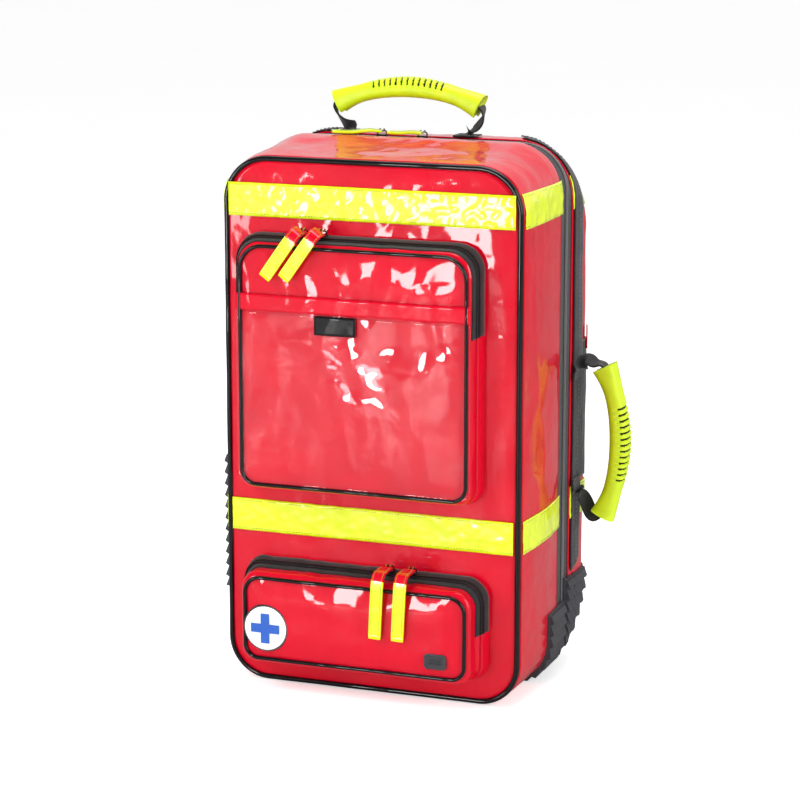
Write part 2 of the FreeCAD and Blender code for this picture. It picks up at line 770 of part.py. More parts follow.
def buckle(side, y, z):
    """Half of a side-release buckle that meets its other half in the middle: a socket on the left, a
    plug with three prongs on the right."""
    length, thick, height = BUCKLE
    tip = side * BUCKLE_MEETING
    base = side * (BUCKLE_MEETING + length)
    across = (y - thick / 2, y + thick / 2)
    heights = (z - height / 2, z + height / 2)
    if side < 0:
        mouth = box((tip - 14, tip + 1), (y - 2.4, y + 2.4), (z - 8, z + 8))
        return cushion((base, tip), across, heights, 3).cut(mouth)
    body = cushion((base - 9, base), across, heights, 3)
    prongs = [box((tip, base - 8), (y - 2, y + 2), (z + s - 2, z + s + 2)) for s in (-7, 0, 7)]
    return body.fuse(prongs).removeSplitter()


def webbing_to_buckle(side, outer, y, z, width, thick):
    """Straight webbing from x = outer inwards into the buckle's half."""
    inner = side * (BUCKLE_MEETING + BUCKLE[0] - 2)
    x = sorted((side * outer, inner))
    return box(x, (y - thick / 2, y + thick / 2), (z - width / 2, z + width / 2))


def sternum_half(side):
    """Webbing from a shoulder strap's inner edge towards the middle, with its buckle half."""
    width, thick = STERNUM_WEB
    pivot = STRAP_X - STRAP_SIZE[0] / 2 - STERNUM_CLEARANCE
    knuckle = Part.makeCylinder(2.5, width, V(side * pivot, STRAP_Y, STERNUM_Z - width / 2), V(0, 0, 1))
    web = webbing_to_buckle(side, pivot, STRAP_Y, STERNUM_Z, width, thick)
    return knuckle.fuse([web, buckle(side, STRAP_Y, STERNUM_Z)]).removeSplitter()


def belt_half(side):
    """Padded waist-belt wing folded across the back, with its webbing and buckle half."""
    thick, height = BELT_SIZE
    y = (BELT_Y - thick / 2, BELT_Y + thick / 2)
    z = (BELT_Z - height / 2, BELT_Z + height / 2)
    pivot = side * BELT_PIVOT_X
    knuckle = Part.makeCylinder(thick / 2, height, V(pivot, BELT_Y, z[0]), V(0, 0, 1))
    pad = cushion(sorted((pivot, side * BELT_PAD_END)), y, z, 10)
    square_root = box(sorted((pivot, pivot - side * 14)), y, z)
    web = webbing_to_buckle(side, BELT_PAD_END + 2, BELT_Y, BELT_Z, *WEBBING)
    return knuckle.fuse([pad, square_root, web, buckle(side, BELT_Y, BELT_Z)]).removeSplitter()


# ---------------------------------------------------------------- assembly


def build():
    parts = {
        "front_panel": front_panel(),
        "front_foam": front_foam(),
        "front_piping": front_piping(),
        "front_gusset": gusset(front_solid, FRONT_Y + PIPE_R + 0.2, SPLIT_Y - GAP, SPLIT_Y - GUSSET_TO_SPLIT),
        "front_zip_half": zip_half(front_solid, -1),
        "front_reflective_bands": front_bands(),
        "front_corner_guards": guards(front_solid, GUARD_TOP_FRONT, GUARD_FRONT_Y, SPLIT_Y - 0.5),
        "side_skid": side_skid(),
        "lid_mesh_pocket": lid_mesh_pocket(),
        "back_panel": back_panel(),
        "back_pads": back_pads(),
        "frame_sheet": frame_sheet(),
        "rear_gusset": rear_gusset(),
        "rear_piping": rear_piping(),
        "rear_zip_half": zip_half(rear_solid, 1),
        "rear_reflective_bands": reflective_bands(rear_solid, SPLIT_Y + GUSSET_TO_SPLIT, REAR_Y - 2),
        "side_bands": side_bands(),
        "rear_corner_guards": guards(rear_solid, GUARD_TOP_REAR, SPLIT_Y + 0.5, REAR_Y - 3),
        "handle_patch": handle_patch(),
        "retention_straps": retention_straps(),
        "upper_pocket_gusset": pocket_gusset(UPPER_POCKET),
        "lower_pocket_shell": pocket_gusset(LOWER_POCKET),
        "upper_pocket_piping": pocket_piping(UPPER_POCKET).common(slab(z=(0, UPPER_POCKET["hinge"] - GAP))),
        "pocket_zip_tapes": pocket_tapes(),
        "upper_pocket_flap": pocket_flap(UPPER_POCKET),
        "upper_flap_zip": pocket_flap_tape(UPPER_POCKET),
        "lower_pocket_flap": pocket_flap(LOWER_POCKET),
        "lower_flap_zip": pocket_flap_tape(LOWER_POCKET),
        "window": window(),
        "window_trim": window_trim(),
        "window_label": window_label(),
        "badge_backing": badge_backing(),
        "badge_disc": badge_disc(),
        "maker_tag": maker_tag(),
        "top_handle_grip": place_top(handle_grip()),
        "top_handle_webbing": place_top(handle_webbing(TOP_HANDLE["sag"])),
        "side_handle_grip": place_side(handle_grip()),
        "side_handle_webbing": place_side(handle_webbing(-SIDE_HANDLE["sag"])),
        "strap_yoke": strap_yoke(),
        "lower_strap_webbings": lower_webbings(),
    }
    upper_split = pocket_zones(UPPER_POCKET)[1]
    lower_split = pocket_zones(LOWER_POCKET)[1]
    main_z = TOP + RISE + 2 * GAP
    upper_z = UPPER_POCKET["z"][1] + 0.3
    lower_z = LOWER_POCKET["z"][1] + 0.3
    zips = {
        "main_left": (MAIN_SLIDERS[0], SPLIT_Y, main_z, [(62, -0.5)], -62, 0),
        "main_right": (MAIN_SLIDERS[1], SPLIT_Y, main_z, [(44, -0.5)], -78, 0),
        "upper_left": (UPPER_SLIDERS[0], upper_split, upper_z, UPPER_PULL, 0, 36),
        "upper_right": (UPPER_SLIDERS[1], upper_split, upper_z, UPPER_PULL, 0, 36),
        "lower_left": (LOWER_SLIDERS[0], lower_split, lower_z, LOWER_PULL, 0, 3),
        "lower_right": (LOWER_SLIDERS[1], lower_split, lower_z, LOWER_PULL, 0, 3),
    }
    for zip_side, (x, y, z, profile, swing, lean) in zips.items():
        parts[f"{zip_side}_slider"] = slider(x, y, z)
        parts[f"{zip_side}_pull"] = pull(x, y, z, profile, swing, lean)
    for side, sign in (("left", -1), ("right", 1)):
        parts[f"shoulder_strap_{side}"] = shoulder_strap(sign)
        parts[f"ladder_lock_{side}"] = ladder_lock(sign)
        parts[f"sternum_strap_{side}"] = sternum_half(sign)
        parts[f"waist_belt_{side}"] = belt_half(sign)
    return parts


os.makedirs("parts", exist_ok=True)
for name, shape in build().items():
    shape.exportStep(f"parts/{name}.step")
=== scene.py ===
import json
import math
from functools import partial

import bmesh
import bpy
import numpy as np
from mathutils import Matrix, Vector
from mathutils.bvhtree import BVHTree

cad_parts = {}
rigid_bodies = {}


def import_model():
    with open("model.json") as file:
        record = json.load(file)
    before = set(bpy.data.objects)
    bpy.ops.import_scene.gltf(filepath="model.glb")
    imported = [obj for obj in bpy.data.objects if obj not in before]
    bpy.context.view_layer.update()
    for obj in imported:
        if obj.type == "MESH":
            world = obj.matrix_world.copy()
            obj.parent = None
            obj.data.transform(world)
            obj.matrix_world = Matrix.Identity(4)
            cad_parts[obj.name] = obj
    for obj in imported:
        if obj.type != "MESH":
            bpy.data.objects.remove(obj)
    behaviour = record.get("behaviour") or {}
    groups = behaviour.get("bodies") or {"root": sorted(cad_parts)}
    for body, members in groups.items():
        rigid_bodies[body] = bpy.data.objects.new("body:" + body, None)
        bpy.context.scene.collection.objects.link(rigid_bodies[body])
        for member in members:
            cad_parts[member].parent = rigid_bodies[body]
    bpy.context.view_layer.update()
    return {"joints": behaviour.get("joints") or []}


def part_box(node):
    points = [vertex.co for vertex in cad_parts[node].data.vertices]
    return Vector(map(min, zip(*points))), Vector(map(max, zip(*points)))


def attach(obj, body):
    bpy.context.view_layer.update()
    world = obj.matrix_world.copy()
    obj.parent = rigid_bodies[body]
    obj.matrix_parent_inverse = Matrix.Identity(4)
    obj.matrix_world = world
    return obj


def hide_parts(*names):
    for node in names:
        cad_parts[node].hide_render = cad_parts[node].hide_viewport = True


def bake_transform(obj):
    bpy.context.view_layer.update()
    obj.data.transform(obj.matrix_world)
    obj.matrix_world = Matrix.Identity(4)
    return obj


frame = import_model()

# Trauma backpack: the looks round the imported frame. Lengths are millimetres in the frame's axes
# (+X right, +Y towards the wearer's back, +Z up), and become metres where a mesh is made.

MM = 0.001
COLLECTION = bpy.context.scene.collection
JOINTS = {joint["name"]: joint for joint in frame["joints"]}
FORWARD = (0.0, -1.0, 0.0)
BACKWARD = (0.0, 1.0, 0.0)
UPWARD = (0.0, 0.0, 1.0)
SIDES = ((-1, "left"), (1, "right"))


def corners(node):
    """Lowest and highest corner of a CAD node in millimetres."""
    low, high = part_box(node)
    return np.array(low) / MM, np.array(high) / MM


def spans(node):
    """The ranges of x, y and z that a CAD node fills."""
    return list(zip(*corners(node)))


def pivot(joint):
    return np.array(JOINTS[joint]["pos_m"]) / MM


# ---------------------------------------------------------------- sizes

HALF_W = corners("front_gusset")[1][0]
TOP_REAR = corners("rear_gusset")[1][2]
TOP_FRONT = corners("front_piping")[1][2]
FRONT_Y = corners("front_gusset")[0][1] - 3.2
REAR_Y = corners("rear_gusset")[1][1]
SPLIT_Y = pivot("lid_hinge")[1]
GUSSET_EDGE = corners("front_reflective_bands")[1][1]
REAR_EDGE = corners("rear_reflective_bands")[0][1] - 1
R_BASE = 46.0
R_TOP = 50.0
R_REAR_LOW = 90.0
R_REAR_TOP = 40.0
R_REAR_SIDE = 14.0
DROOP_RIGHT = 34.0
DROOP_LEFT = 8.0
ZIP_LOW = corners("front_zip_half")[0][2]
CORD_R = 3.0
WALL_T = 1.6
SIDE_BULGE = 4.0

# ---------------------------------------------------------------- noise


def gradient_noise(points, cell, seed):
    """Smooth noise from about -1 to 1 with features of cell mm, at points of (x, y, z)."""
    random = np.random.RandomState(seed)
    order = random.permutation(256)
    slopes = random.normal(size=(256, 3))
    slopes /= np.linalg.norm(slopes, axis=1)[:, None]
    scaled = points / cell
    base = np.floor(scaled).astype(int)
    inside = scaled - base
    fade = inside * inside * inside * (inside * (inside * 6 - 15) + 10)
    total = np.zeros(points.shape[:-1])
    for step in np.ndindex(2, 2, 2):
        spot = (base + step) & 255
        index = order[(order[(order[spot[..., 0]] + spot[..., 1]) & 255] + spot[..., 2]) & 255]
        near = np.where(np.array(step) == 1, fade, 1 - fade)
        total += near.prod(axis=-1) * ((inside - step) * slopes[index]).sum(axis=-1)
    return total * 1.6


def folds(points, cell, seed):
    """Sharp creases with smooth slopes between them, from about -1 to 1."""
    warp = gradient_noise(points, cell * 2, seed + 1)[..., None] * cell * 0.5
    return 1 - 2.6 * np.abs(gradient_noise(points + warp, cell, seed))


def crumple(points, amount=1.0, seed=7):
    """Height of tarpaulin above its sewn shape: slow waves with a few sharp creases over them."""
    waves = gradient_noise(points, 95, seed)
    creases = folds(points * (1.0, 0.8, 0.55), 38, seed + 10)
    fine = folds(points, 19, seed + 20)
    return amount * (1.3 * waves + 0.55 * creases + 0.16 * fine)


# ---------------------------------------------------------------- meshes


def linked(name, data):
    """New object of the scene."""
    made = bpy.data.objects.new(name, data)
    COLLECTION.objects.link(made)
    return made


def new_piece(name, points, faces, materials, face_material=None):
    mesh = bpy.data.meshes.new(name)
    mesh.from_pydata((np.asarray(points, float) * MM).tolist(), [], [list(map(int, f)) for f in faces])
    mesh.polygons.foreach_set("use_smooth", [True] * len(mesh.polygons))
    for material in materials if isinstance(materials, (list, tuple)) else [materials]:
        mesh.materials.append(material)
    if face_material is not None:
        mesh.polygons.foreach_set("material_index", list(map(int, face_material)))
    mesh.validate()
    mesh.update()
    return linked(name, mesh)


def grid_faces(rows, columns, closed=False):
    """Quads between the points of a row-by-row grid; closed joins the last column to the first."""
    r, c = np.meshgrid(np.arange(rows - 1), np.arange(columns if closed else columns - 1), indexing="ij")
    start, here = r.ravel() * columns, c.ravel()
    after = (here + 1) % columns
    return np.stack([start + here, start + after, start + columns + after, start + columns + here], 1)


def end_caps(rows, columns):
    """Faces that close both ends of a tube."""
    return [list(range(columns)), [(rows - 1) * columns + k for k in reversed(range(columns))]]


def sheet(name, grid, materials, thickness=WALL_T, closed=False, flip=False):
    """Sheet of fabric through a (rows, columns, 3) grid, thickened behind the side it faces."""
    rows, columns = grid.shape[:2]
    faces = grid_faces(rows, columns, closed)
    if flip:
        faces = faces[:, ::-1]
    piece = new_piece(name, grid.reshape(-1, 3), faces, materials)
    if closed:
        weld = piece.modifiers.new("weld", "WELD")
        weld.merge_threshold = 0.2 * MM
    solid = piece.modifiers.new("thickness", "SOLIDIFY")
    solid.thickness = thickness * MM
    solid.offset = -1
    if isinstance(materials, list):
        solid.material_offset = 1
    return piece


def grid_normals(grid):
    """Unit normals of a grid's points, facing as its quads do."""
    normals = np.cross(np.gradient(grid, axis=1), np.gradient(grid, axis=0))
    return normals / np.maximum(np.linalg.norm(normals, axis=2), 1e-9)[..., None]


def outline(x, z, radii, counts):
    """Rounded rectangle seen from the front, anticlockwise from the middle of its base: points and
    outward normals, both (N, 2). radii run base right, top right, top left, base left; counts are
    the points along each side, across, and round each corner."""
    (x0, x1), (z0, z1) = x, z
    along, across, round_corner = counts
    right_low, right_high, left_high, left_low = radii
    middle = (x0 + x1) / 2
    runs = [
        ((middle, z0), (x1 - right_low, z0), (0, -1), across // 2),
        ((x1 - right_low, z0 + right_low), right_low, -90),
        ((x1, z0 + right_low), (x1, z1 - right_high), (1, 0), along),
        ((x1 - right_high, z1 - right_high), right_high, 0),
        ((x1 - right_high, z1), (x0 + left_high, z1), (0, 1), across),
        ((x0 + left_high, z1 - left_high), left_high, 90),
        ((x0, z1 - left_high), (x0, z0 + left_low), (-1, 0), along),
        ((x0 + left_low, z0 + left_low), left_low, 180),
        ((x0 + left_low, z0), (middle, z0), (0, -1), across // 2),
    ]
    points, normals = [], []
    for run in runs:
        if len(run) == 4:
            start, end, normal, count = run
            steps = np.arange(count) / count
            points.append(np.outer(1 - steps, start) + np.outer(steps, end))
            normals.append(np.tile(normal, (count, 1)).astype(float))
        else:
            centre, radius, first = run
            angles = np.radians(first + 90 * np.arange(round_corner) / round_corner)
            normal = np.stack([np.cos(angles), np.sin(angles)], 1)
            points.append(np.array(centre) + radius * normal)
            normals.append(normal)
    return np.concatenate(points), np.concatenate(normals)


def upright(flat, y=0.0):
    """Points or directions (N, 3) of flat (x, z) ones standing at depth y."""
    return np.stack([flat[:, 0], np.full(len(flat), float(y)), flat[:, 1]], 1)


def ring(x, z, y, radii, counts):
    """Upright outline at depth y: points and outward normals (N, 3)."""
    flat, normal = outline(x, z, radii, counts)
    return upright(flat, y), upright(normal)


def inset_ring(x, z, y, radius, inset, counts):
    """Points of a ring inset from a rounded rectangle, its corners tightening towards the middle."""
    deepest = min(x[1] - x[0], z[1] - z[0]) / 2
    radii = [radius * (1 - inset / deepest)] * 4
    return ring((x[0] + inset, x[1] - inset), (z[0] + inset, z[1] - inset), y, radii, counts)[0]


# ---------------------------------------------------------------- the body's wall

BODY_COUNTS = (118, 60, 16)


def rounding(y, radius):
    """How far an edge of this radius has dropped at depth y, near the bag's back."""
    into = np.clip(y - (REAR_Y - radius), 0, radius)
    return radius - np.sqrt(radius**2 - into**2)


def top_height(y):
    """Height of the top: it domes towards the zip and rounds down to the back."""
    front = np.interp(y, (FRONT_Y, -40, -8, 6, 16, 30), (TOP_FRONT, 590, 595, 595.5, 590, 592))
    return front - rounding(y, R_REAR_TOP)


def half_width(y):
    return HALF_W - rounding(y, R_REAR_SIDE)


def bulge(y):
    """How far the side wall swells between the piping and the zip, and behind the zip."""
    front = np.sin(np.pi * np.clip((y - FRONT_Y) / (GUSSET_EDGE - FRONT_Y), 0, 1))
    rear = np.sin(np.pi * np.clip((y - REAR_EDGE) / (REAR_Y - REAR_EDGE), 0, 1))
    return SIDE_BULGE * front + 0.5 * SIDE_BULGE * rear


def droop(y):
    """Share of the top corners' extra rounding, which grows from the split to the back."""
    return np.interp(y, (SPLIT_Y, REAR_Y - 20), (0, 1))


def body_ring(y, offset=0.0):
    """Points and normals (N, 3) round the body at depth y."""
    right_high = R_TOP + DROOP_RIGHT * droop(y)
    left_high = R_TOP + DROOP_LEFT * droop(y)
    w = half_width(y)
    span = rounding(y, R_REAR_LOW), top_height(y)
    points, normals = ring((-w, w), span, y, (R_BASE, right_high, left_high, R_BASE), BODY_COUNTS)
    share = np.sin(np.pi * np.clip(points[:, 2] / TOP_FRONT, 0, 1)) ** 0.5
    points[:, 0] += np.sign(points[:, 0]) * np.abs(normals[:, 0]) * bulge(y) * share
    return points + normals * offset, normals


def body_rows(ys, offset=0.0, run=slice(None)):
    """Grids of the points and normals round the body at the depths ys, or of a run of them."""
    rings = [body_ring(y, offset) for y in ys]
    return np.stack([points[run] for points, _ in rings]), np.stack([normal[run] for _, normal in rings])


def body_grid(ys):
    """Grid round the body at the depths ys, crumpled except along its first and last rows."""
    grid, normals = body_rows(ys)
    base_flat = np.clip(grid[..., 2] / 12, 0, 1)
    return grid + normals * (crumple(grid) * calm(ys)[:, None] * base_flat)[..., None], normals


def calm(ys):
    """Share of the crumpling at each depth: none at seams and the zip."""
    seams = np.array([FRONT_Y + 3, GUSSET_EDGE, REAR_EDGE, REAR_Y])
    near = np.abs(np.asarray(ys)[:, None] - seams[None]).min(axis=1)
    return np.clip(near / 16, 0.12, 1)


def clear_run(points, low):
    """Indices of the ring's points above a height, in order from its right side over the top."""
    return np.flatnonzero(points[:, 2] > low)


def squared(count, power):
    """Unit outline of a bar's section, as across and high shares; power 2 is round, more is squarer."""
    angles = 2 * np.pi * (np.arange(count) + 0.5) / count
    c, s = np.cos(angles), np.sin(angles)
    return np.sign(c) * np.abs(c) ** (2 / power), np.sign(s) * np.abs(s) ** (2 / power)


def loft(name, path, up, widths, heights, materials, power=2.0, sides=14, closed=False, face_material=None):
    """Bar swept along a path. up gives its thickness direction, for all points or for each."""
    path = np.asarray(path, float)
    up = np.broadcast_to(np.asarray(up, float), path.shape)
    count = len(path)
    if closed:
        along = np.roll(path, -1, axis=0) - np.roll(path, 1, axis=0)
    else:
        along = np.gradient(path, axis=0)
    along /= np.linalg.norm(along, axis=1)[:, None]
    up = up - (up * along).sum(axis=1)[:, None] * along
    up /= np.linalg.norm(up, axis=1)[:, None]
    side = np.cross(along, up)
    across, high = squared(sides, power)
    widths, heights = np.broadcast_to(widths, count), np.broadcast_to(heights, count)
    grid = (
        path[:, None]
        + side[:, None] * (across * widths[:, None] / 2)[..., None]
        + up[:, None] * (high * heights[:, None] / 2)[..., None]
    )
    faces = grid_faces(count + closed, sides, True)
    faces = (faces % (count * sides)).tolist() if closed else faces.tolist() + end_caps(count, sides)
    return new_piece(name, grid.reshape(-1, 3), faces, materials, face_material)


def walk(path, normals, pitch, closed=False):
    """Evenly spaced points along a path with their tangents and normals."""
    normals = np.broadcast_to(np.asarray(normals, float), path.shape)
    if closed:
        path = np.concatenate([path, path[:1]])
        normals = np.concatenate([normals, normals[:1]])
    run = lengths(path)
    spots = np.arange(pitch / 2, run[-1], pitch)
    along = along_run(path, run, spots + 0.5) - along_run(path, run, spots - 0.5)
    along /= np.maximum(np.linalg.norm(along, axis=1), 1e-9)[:, None]
    up = along_run(normals, run, spots)
    return along_run(path, run, spots), along, up / np.linalg.norm(up, axis=1)[:, None]


def lengths(path):
    """Length along a path at each of its points."""
    return np.concatenate([[0], np.cumsum(np.linalg.norm(np.diff(path, axis=0), axis=1))])


def along_run(values, run, spots):
    """Values read at some lengths along a path whose points lie at the lengths in run."""
    return np.stack([np.interp(spots, run, values[:, k]) for k in range(3)], 1)


PIN_SECTIONS = ((-0.5, 0.4), (-0.3, 1.0), (0.3, 1.0), (0.5, 0.4))
PIN_SIDES = 5


def pins(groups, length, radius):
    """Points and faces of small rounded pins, each group giving (centres, along, up)."""
    centres, along, up = [np.concatenate(part) for part in zip(*groups)]
    side = np.cross(along, up)
    points = []
    for place, size in PIN_SECTIONS:
        for k in range(PIN_SIDES):
            angle = 2 * math.pi * k / PIN_SIDES
            spoke = math.cos(angle) * side + math.sin(angle) * up
            points.append(centres + along * place * length + spoke * size * radius)
    points = np.stack(points, 1)
    rows = len(PIN_SECTIONS)
    one = grid_faces(rows, PIN_SIDES, True).tolist() + end_caps(rows, PIN_SIDES)
    per = rows * PIN_SIDES
    faces = [[i * per + k for k in face] for i in range(len(centres)) for face in one]
    return points.reshape(-1, 3), faces


def stitching(name, rows, material, pitch=3.4, length=2.4, radius=0.4, closed=False):
    """Rows of stitches, each a path with its normals, or with one normal for the whole path."""
    groups = [walk(path, normals, pitch, closed) for path, normals in rows]
    points, faces = pins(groups, length, radius)
    return new_piece(name, points, faces, material)


def coil(name, path, normals, material, pitch=2.0, length=3.4, radius=0.75):
    """Half of a coil zip: one rounded element after another, each lying across the path."""
    at, along, up = walk(path, normals, pitch)
    points, faces = pins([(at, np.cross(along, up), up)], length, radius)
    return new_piece(name, points, faces, material)


# ---------------------------------------------------------------- materials


def rgb(red, green, blue):
    """Screen colour from 0 to 255 as the linear colour that a shader takes."""
    linear = [c / 255 / 12.92 if c <= 10 else ((c / 255 + 0.055) / 1.055) ** 2.4 for c in (red, green, blue)]
    return (*linear, 1.0)


class Shader:
    """A node material being put together, with its textures placed in millimetres."""

    def __init__(self, name):
        self.material = bpy.data.materials.new(name)
        self.material.use_nodes = True
        self.tree = self.material.node_tree
        self.surface = self.tree.nodes["Principled BSDF"]
        place = self.node("ShaderNodeTexCoord")
        self.facing = place.outputs["Normal"]
        self.place = self.node(
            "ShaderNodeVectorMath", {"operation": "SCALE"}, Vector=place.outputs["Object"], Scale=1 / MM
        ).outputs[0]
        self.normal = None

    def node(self, kind, settings=(), **inputs):
        made = self.tree.nodes.new(kind)
        for name, value in dict(settings).items():
            setattr(made, name, value)
        for name, value in inputs.items():
            self.give(made.inputs[name.replace("_", " ")], value)
        return made

    def give(self, socket, value):
        if isinstance(value, bpy.types.NodeSocket):
            self.tree.links.new(value, socket)
        else:
            socket.default_value = value

    def maths(self, operation, first, second=0.0):
        made = self.node("ShaderNodeMath", {"operation": operation})
        self.give(made.inputs[0], first)
        self.give(made.inputs[1], second)
        return made.outputs[0]

    def stretched(self, stretch):
        made = self.node("ShaderNodeVectorMath", {"operation": "MULTIPLY"}, Vector=self.place)
        made.inputs[1].default_value = stretch
        return made.outputs[0]

    def noise(self, size, detail=2.0, stretch=(1, 1, 1)):
        where = self.stretched(stretch)
        return self.node("ShaderNodeTexNoise", Vector=where, Scale=1 / size, Detail=detail).outputs["Fac"]

    def facets(self, size):
        """Soft crumpled facets."""
        where = self.stretched((1, 1, 1))
        settings = {"feature": "SMOOTH_F1"}
        return self.node(
            "ShaderNodeTexVoronoi", settings, Vector=where, Scale=1 / size, Smoothness=0.35
        ).outputs["Distance"]

    def weave(self, pitch):
        """Height of a plain weave, laid in the plane that the surface faces."""
        axes = self.node("ShaderNodeSeparateXYZ", Vector=self.place)
        facing = self.node("ShaderNodeSeparateXYZ", Vector=self.facing)
        turn = 2 * math.pi / pitch
        waves = [self.maths("SINE", self.maths("MULTIPLY", axes.outputs[k], turn)) for k in range(3)]
        total = 0.0
        for k in range(3):
            first, second = [waves[other] for other in range(3) if other != k]
            share = self.maths("MULTIPLY", facing.outputs[k], facing.outputs[k])
            cloth = self.maths("MULTIPLY", self.maths("MULTIPLY", first, second), share)
            total = self.maths("ADD", cloth, total)
        return total

    def blend(self, share, stops):
        """Colour read off a ramp of (position, colour) stops."""
        made = self.node("ShaderNodeValToRGB", Fac=share)
        ramp = made.color_ramp
        while len(ramp.elements) < len(stops):
            ramp.elements.new(0.5)
        for element, (position, colour) in zip(ramp.elements, stops):
            element.position = position
            element.color = colour
        return made.outputs["Color"]

    def between(self, share, low, high):
        made = self.node("ShaderNodeMapRange", Value=share, To_Min=low, To_Max=high)
        return made.outputs["Result"]

    def bump(self, height, depth):
        made = self.node("ShaderNodeBump", Height=height, Distance=depth * MM, Strength=1.0)
        if self.normal is not None:
            self.give(made.inputs["Normal"], self.normal)
        self.normal = made.outputs[0]

    def worn(self):
        """Curvature of the surface, high on the edges that wear."""
        return self.node("ShaderNodeNewGeometry").outputs["Pointiness"]

    def finish(self, **inputs):
        for name, value in inputs.items():
            self.give(self.surface.inputs[name.replace("_", " ")], value)
        if self.normal is not None:
            self.give(self.surface.inputs["Normal"], self.normal)
        return self.material


def shade(colour, factor):
    return (*[c * factor for c in colour[:3]], 1.0)


def tarpaulin(name, colour, crinkle=1.0):
    """PVC-coated cloth: glossy, crinkled, with the scrim's threads showing through."""
    shader = Shader(name)
    shader.bump(shader.noise(46, 3, (1, 1, 0.5)), 2.0 * crinkle)
    shader.bump(shader.facets(26), 1.0 * crinkle)
    shader.bump(shader.noise(6, 2), 0.06)
    shader.bump(shader.weave(1.5), 0.035)
    colours = shader.blend(shader.noise(70, 3), [(0.3, shade(colour, 0.86)), (0.7, colour)])
    return shader.finish(
        Base_Color=colours,
        Roughness=shader.between(shader.noise(12), 0.24, 0.38),
        Specular_IOR_Level=0.12,
        Coat_Weight=0.75,
        Coat_Roughness=0.05,
        Coat_IOR=1.5,
    )


def reflective(name, colour):
    """Fluorescent reflective vinyl with fine prisms under a clear face, with a painted glow: a weak emission
    of its own colour makes it look fluorescent, though it is no lamp.
    """
    shader = Shader(name)
    shader.bump(shader.noise(22, 3, (1, 1, 0.5)), 1.3)
    shader.bump(shader.facets(9), 0.6)
    shader.bump(shader.weave(2.4), 0.03)
    colours = shader.blend(shader.noise(24, 3), [(0.3, shade(colour, 0.84)), (0.65, colour)])
    return shader.finish(
        Base_Color=colours,
        Roughness=shader.between(shader.noise(10), 0.25, 0.4),
        Coat_Weight=0.8,
        Coat_Roughness=0.08,
        # Painted glow: emission of the vinyl's own colour, standing in for fluorescence; the vinyl is no
        # lamp.
        Emission_Color=colour,
        Emission_Strength=0.16,
    )


def cloth(name, colour, pitch, depth, roughness=0.85, light=1.6):
    """Woven tape, webbing or lining with a visible thread and a soft sheen."""
    shader = Shader(name)
    weave = shader.weave(pitch)
    shader.bump(shader.noise(9, 3), 0.25)
    shader.bump(weave, depth)
    threads = shader.maths("ADD", shader.maths("MULTIPLY", weave, 0.3), shader.noise(14, 4))
    colours = shader.blend(threads, [(0.25, shade(colour, 0.6)), (0.75, shade(colour, light))])
    return shader.finish(
        Base_Color=colours,
        Roughness=shader.between(shader.noise(5), roughness - 0.12, roughness),
        Sheen_Weight=0.25,
        Sheen_Roughness=0.5,
    )


def rubber(name, colour, roughness, grain=0.06, glow=0.0):
    """Moulded rubber: fine grain, colour worn paler on its raised parts. glow is a painted glow: emission of
    the rubber's own colour, though the rubber is no lamp.
    """
    shader = Shader(name)
    shader.bump(shader.noise(1.1, 3), grain)
    wear = shader.worn()
    share = shader.maths("ADD", shader.maths("MULTIPLY", shader.noise(18, 4), 0.35), wear)
    colours = shader.blend(share, [(0.5, shade(colour, 0.78)), (0.82, shade(colour, 1.12))])
    return shader.finish(
        Base_Color=colours,
        Roughness=shader.between(shader.noise(7), roughness - 0.08, roughness + 0.08),
        # Painted glow: emission of the rubber's own colour, used only by the yellow grip.
        Emission_Color=colour,
        Emission_Strength=glow,
    )


def moulded(name, colour, roughness, metallic=0.0):
    """Hard plastic or painted metal with faint scratches and worn edges."""
    shader = Shader(name)
    shader.bump(shader.noise(0.9, 2), 0.02)
    wear = shader.worn()
    scratches = shader.noise(3, 5, (1, 1, 0.1))
    share = shader.maths("ADD", wear, shader.maths("MULTIPLY", scratches, 0.12))
    colours = shader.blend(share, [(0.5, colour), (0.75, shade(colour, 1.5))])
    return shader.finish(
        Base_Color=colours,
        Roughness=shader.between(scratches, roughness - 0.06, roughness + 0.1),
        Metallic=metallic,
    )


def clear_vinyl(name):
    """Clear sheet: what lies behind shows through, with its own crinkled reflections added."""
    shader = Shader(name)
    shader.bump(shader.noise(70, 2, (1, 1, 0.6)), 2.6)
    shader.bump(shader.facets(40), 0.7)
    material = shader.finish(
        Base_Color=(0.0, 0.0, 0.0, 1.0), Roughness=shader.between(shader.noise(30), 0.02, 0.06), IOR=1.45
    )
    through = shader.node("ShaderNodeBsdfTransparent", Color=(0.96, 0.93, 0.94, 1.0))
    both = shader.node("ShaderNodeAddShader")
    shader.give(both.inputs[0], through.outputs[0])
    shader.give(both.inputs[1], shader.surface.outputs[0])
    shader.give(shader.tree.nodes["Material Output"].inputs["Surface"], both.outputs[0])
    return material


RED_COLOUR = rgb(218, 2, 38)
RED = tarpaulin("red_tarpaulin", RED_COLOUR)
RED_PUFFED = tarpaulin("red_tarpaulin_gathered", RED_COLOUR, 1.5)
YELLOW = reflective("yellow_reflective", rgb(222, 240, 0))
LINING = cloth("dark_lining", rgb(52, 52, 56), 1.1, 0.05)
TAPE = cloth("black_zip_tape", rgb(26, 26, 29), 1.3, 0.09, 0.8)
COIL = moulded("black_zip_coil", rgb(40, 40, 44), 0.32)
GREY_COIL = moulded("grey_zip_coil", rgb(128, 128, 132), 0.3)
WEB = cloth("black_webbing", rgb(30, 30, 33), 2.2, 0.22, 0.75)
CORD = tarpaulin("black_piping", rgb(14, 14, 16), 0.15)
BLACK_VINYL = tarpaulin("black_vinyl", rgb(18, 18, 21), 0.5)
GUARD = rubber("grey_guard_rubber", rgb(62, 62, 67), 0.62)
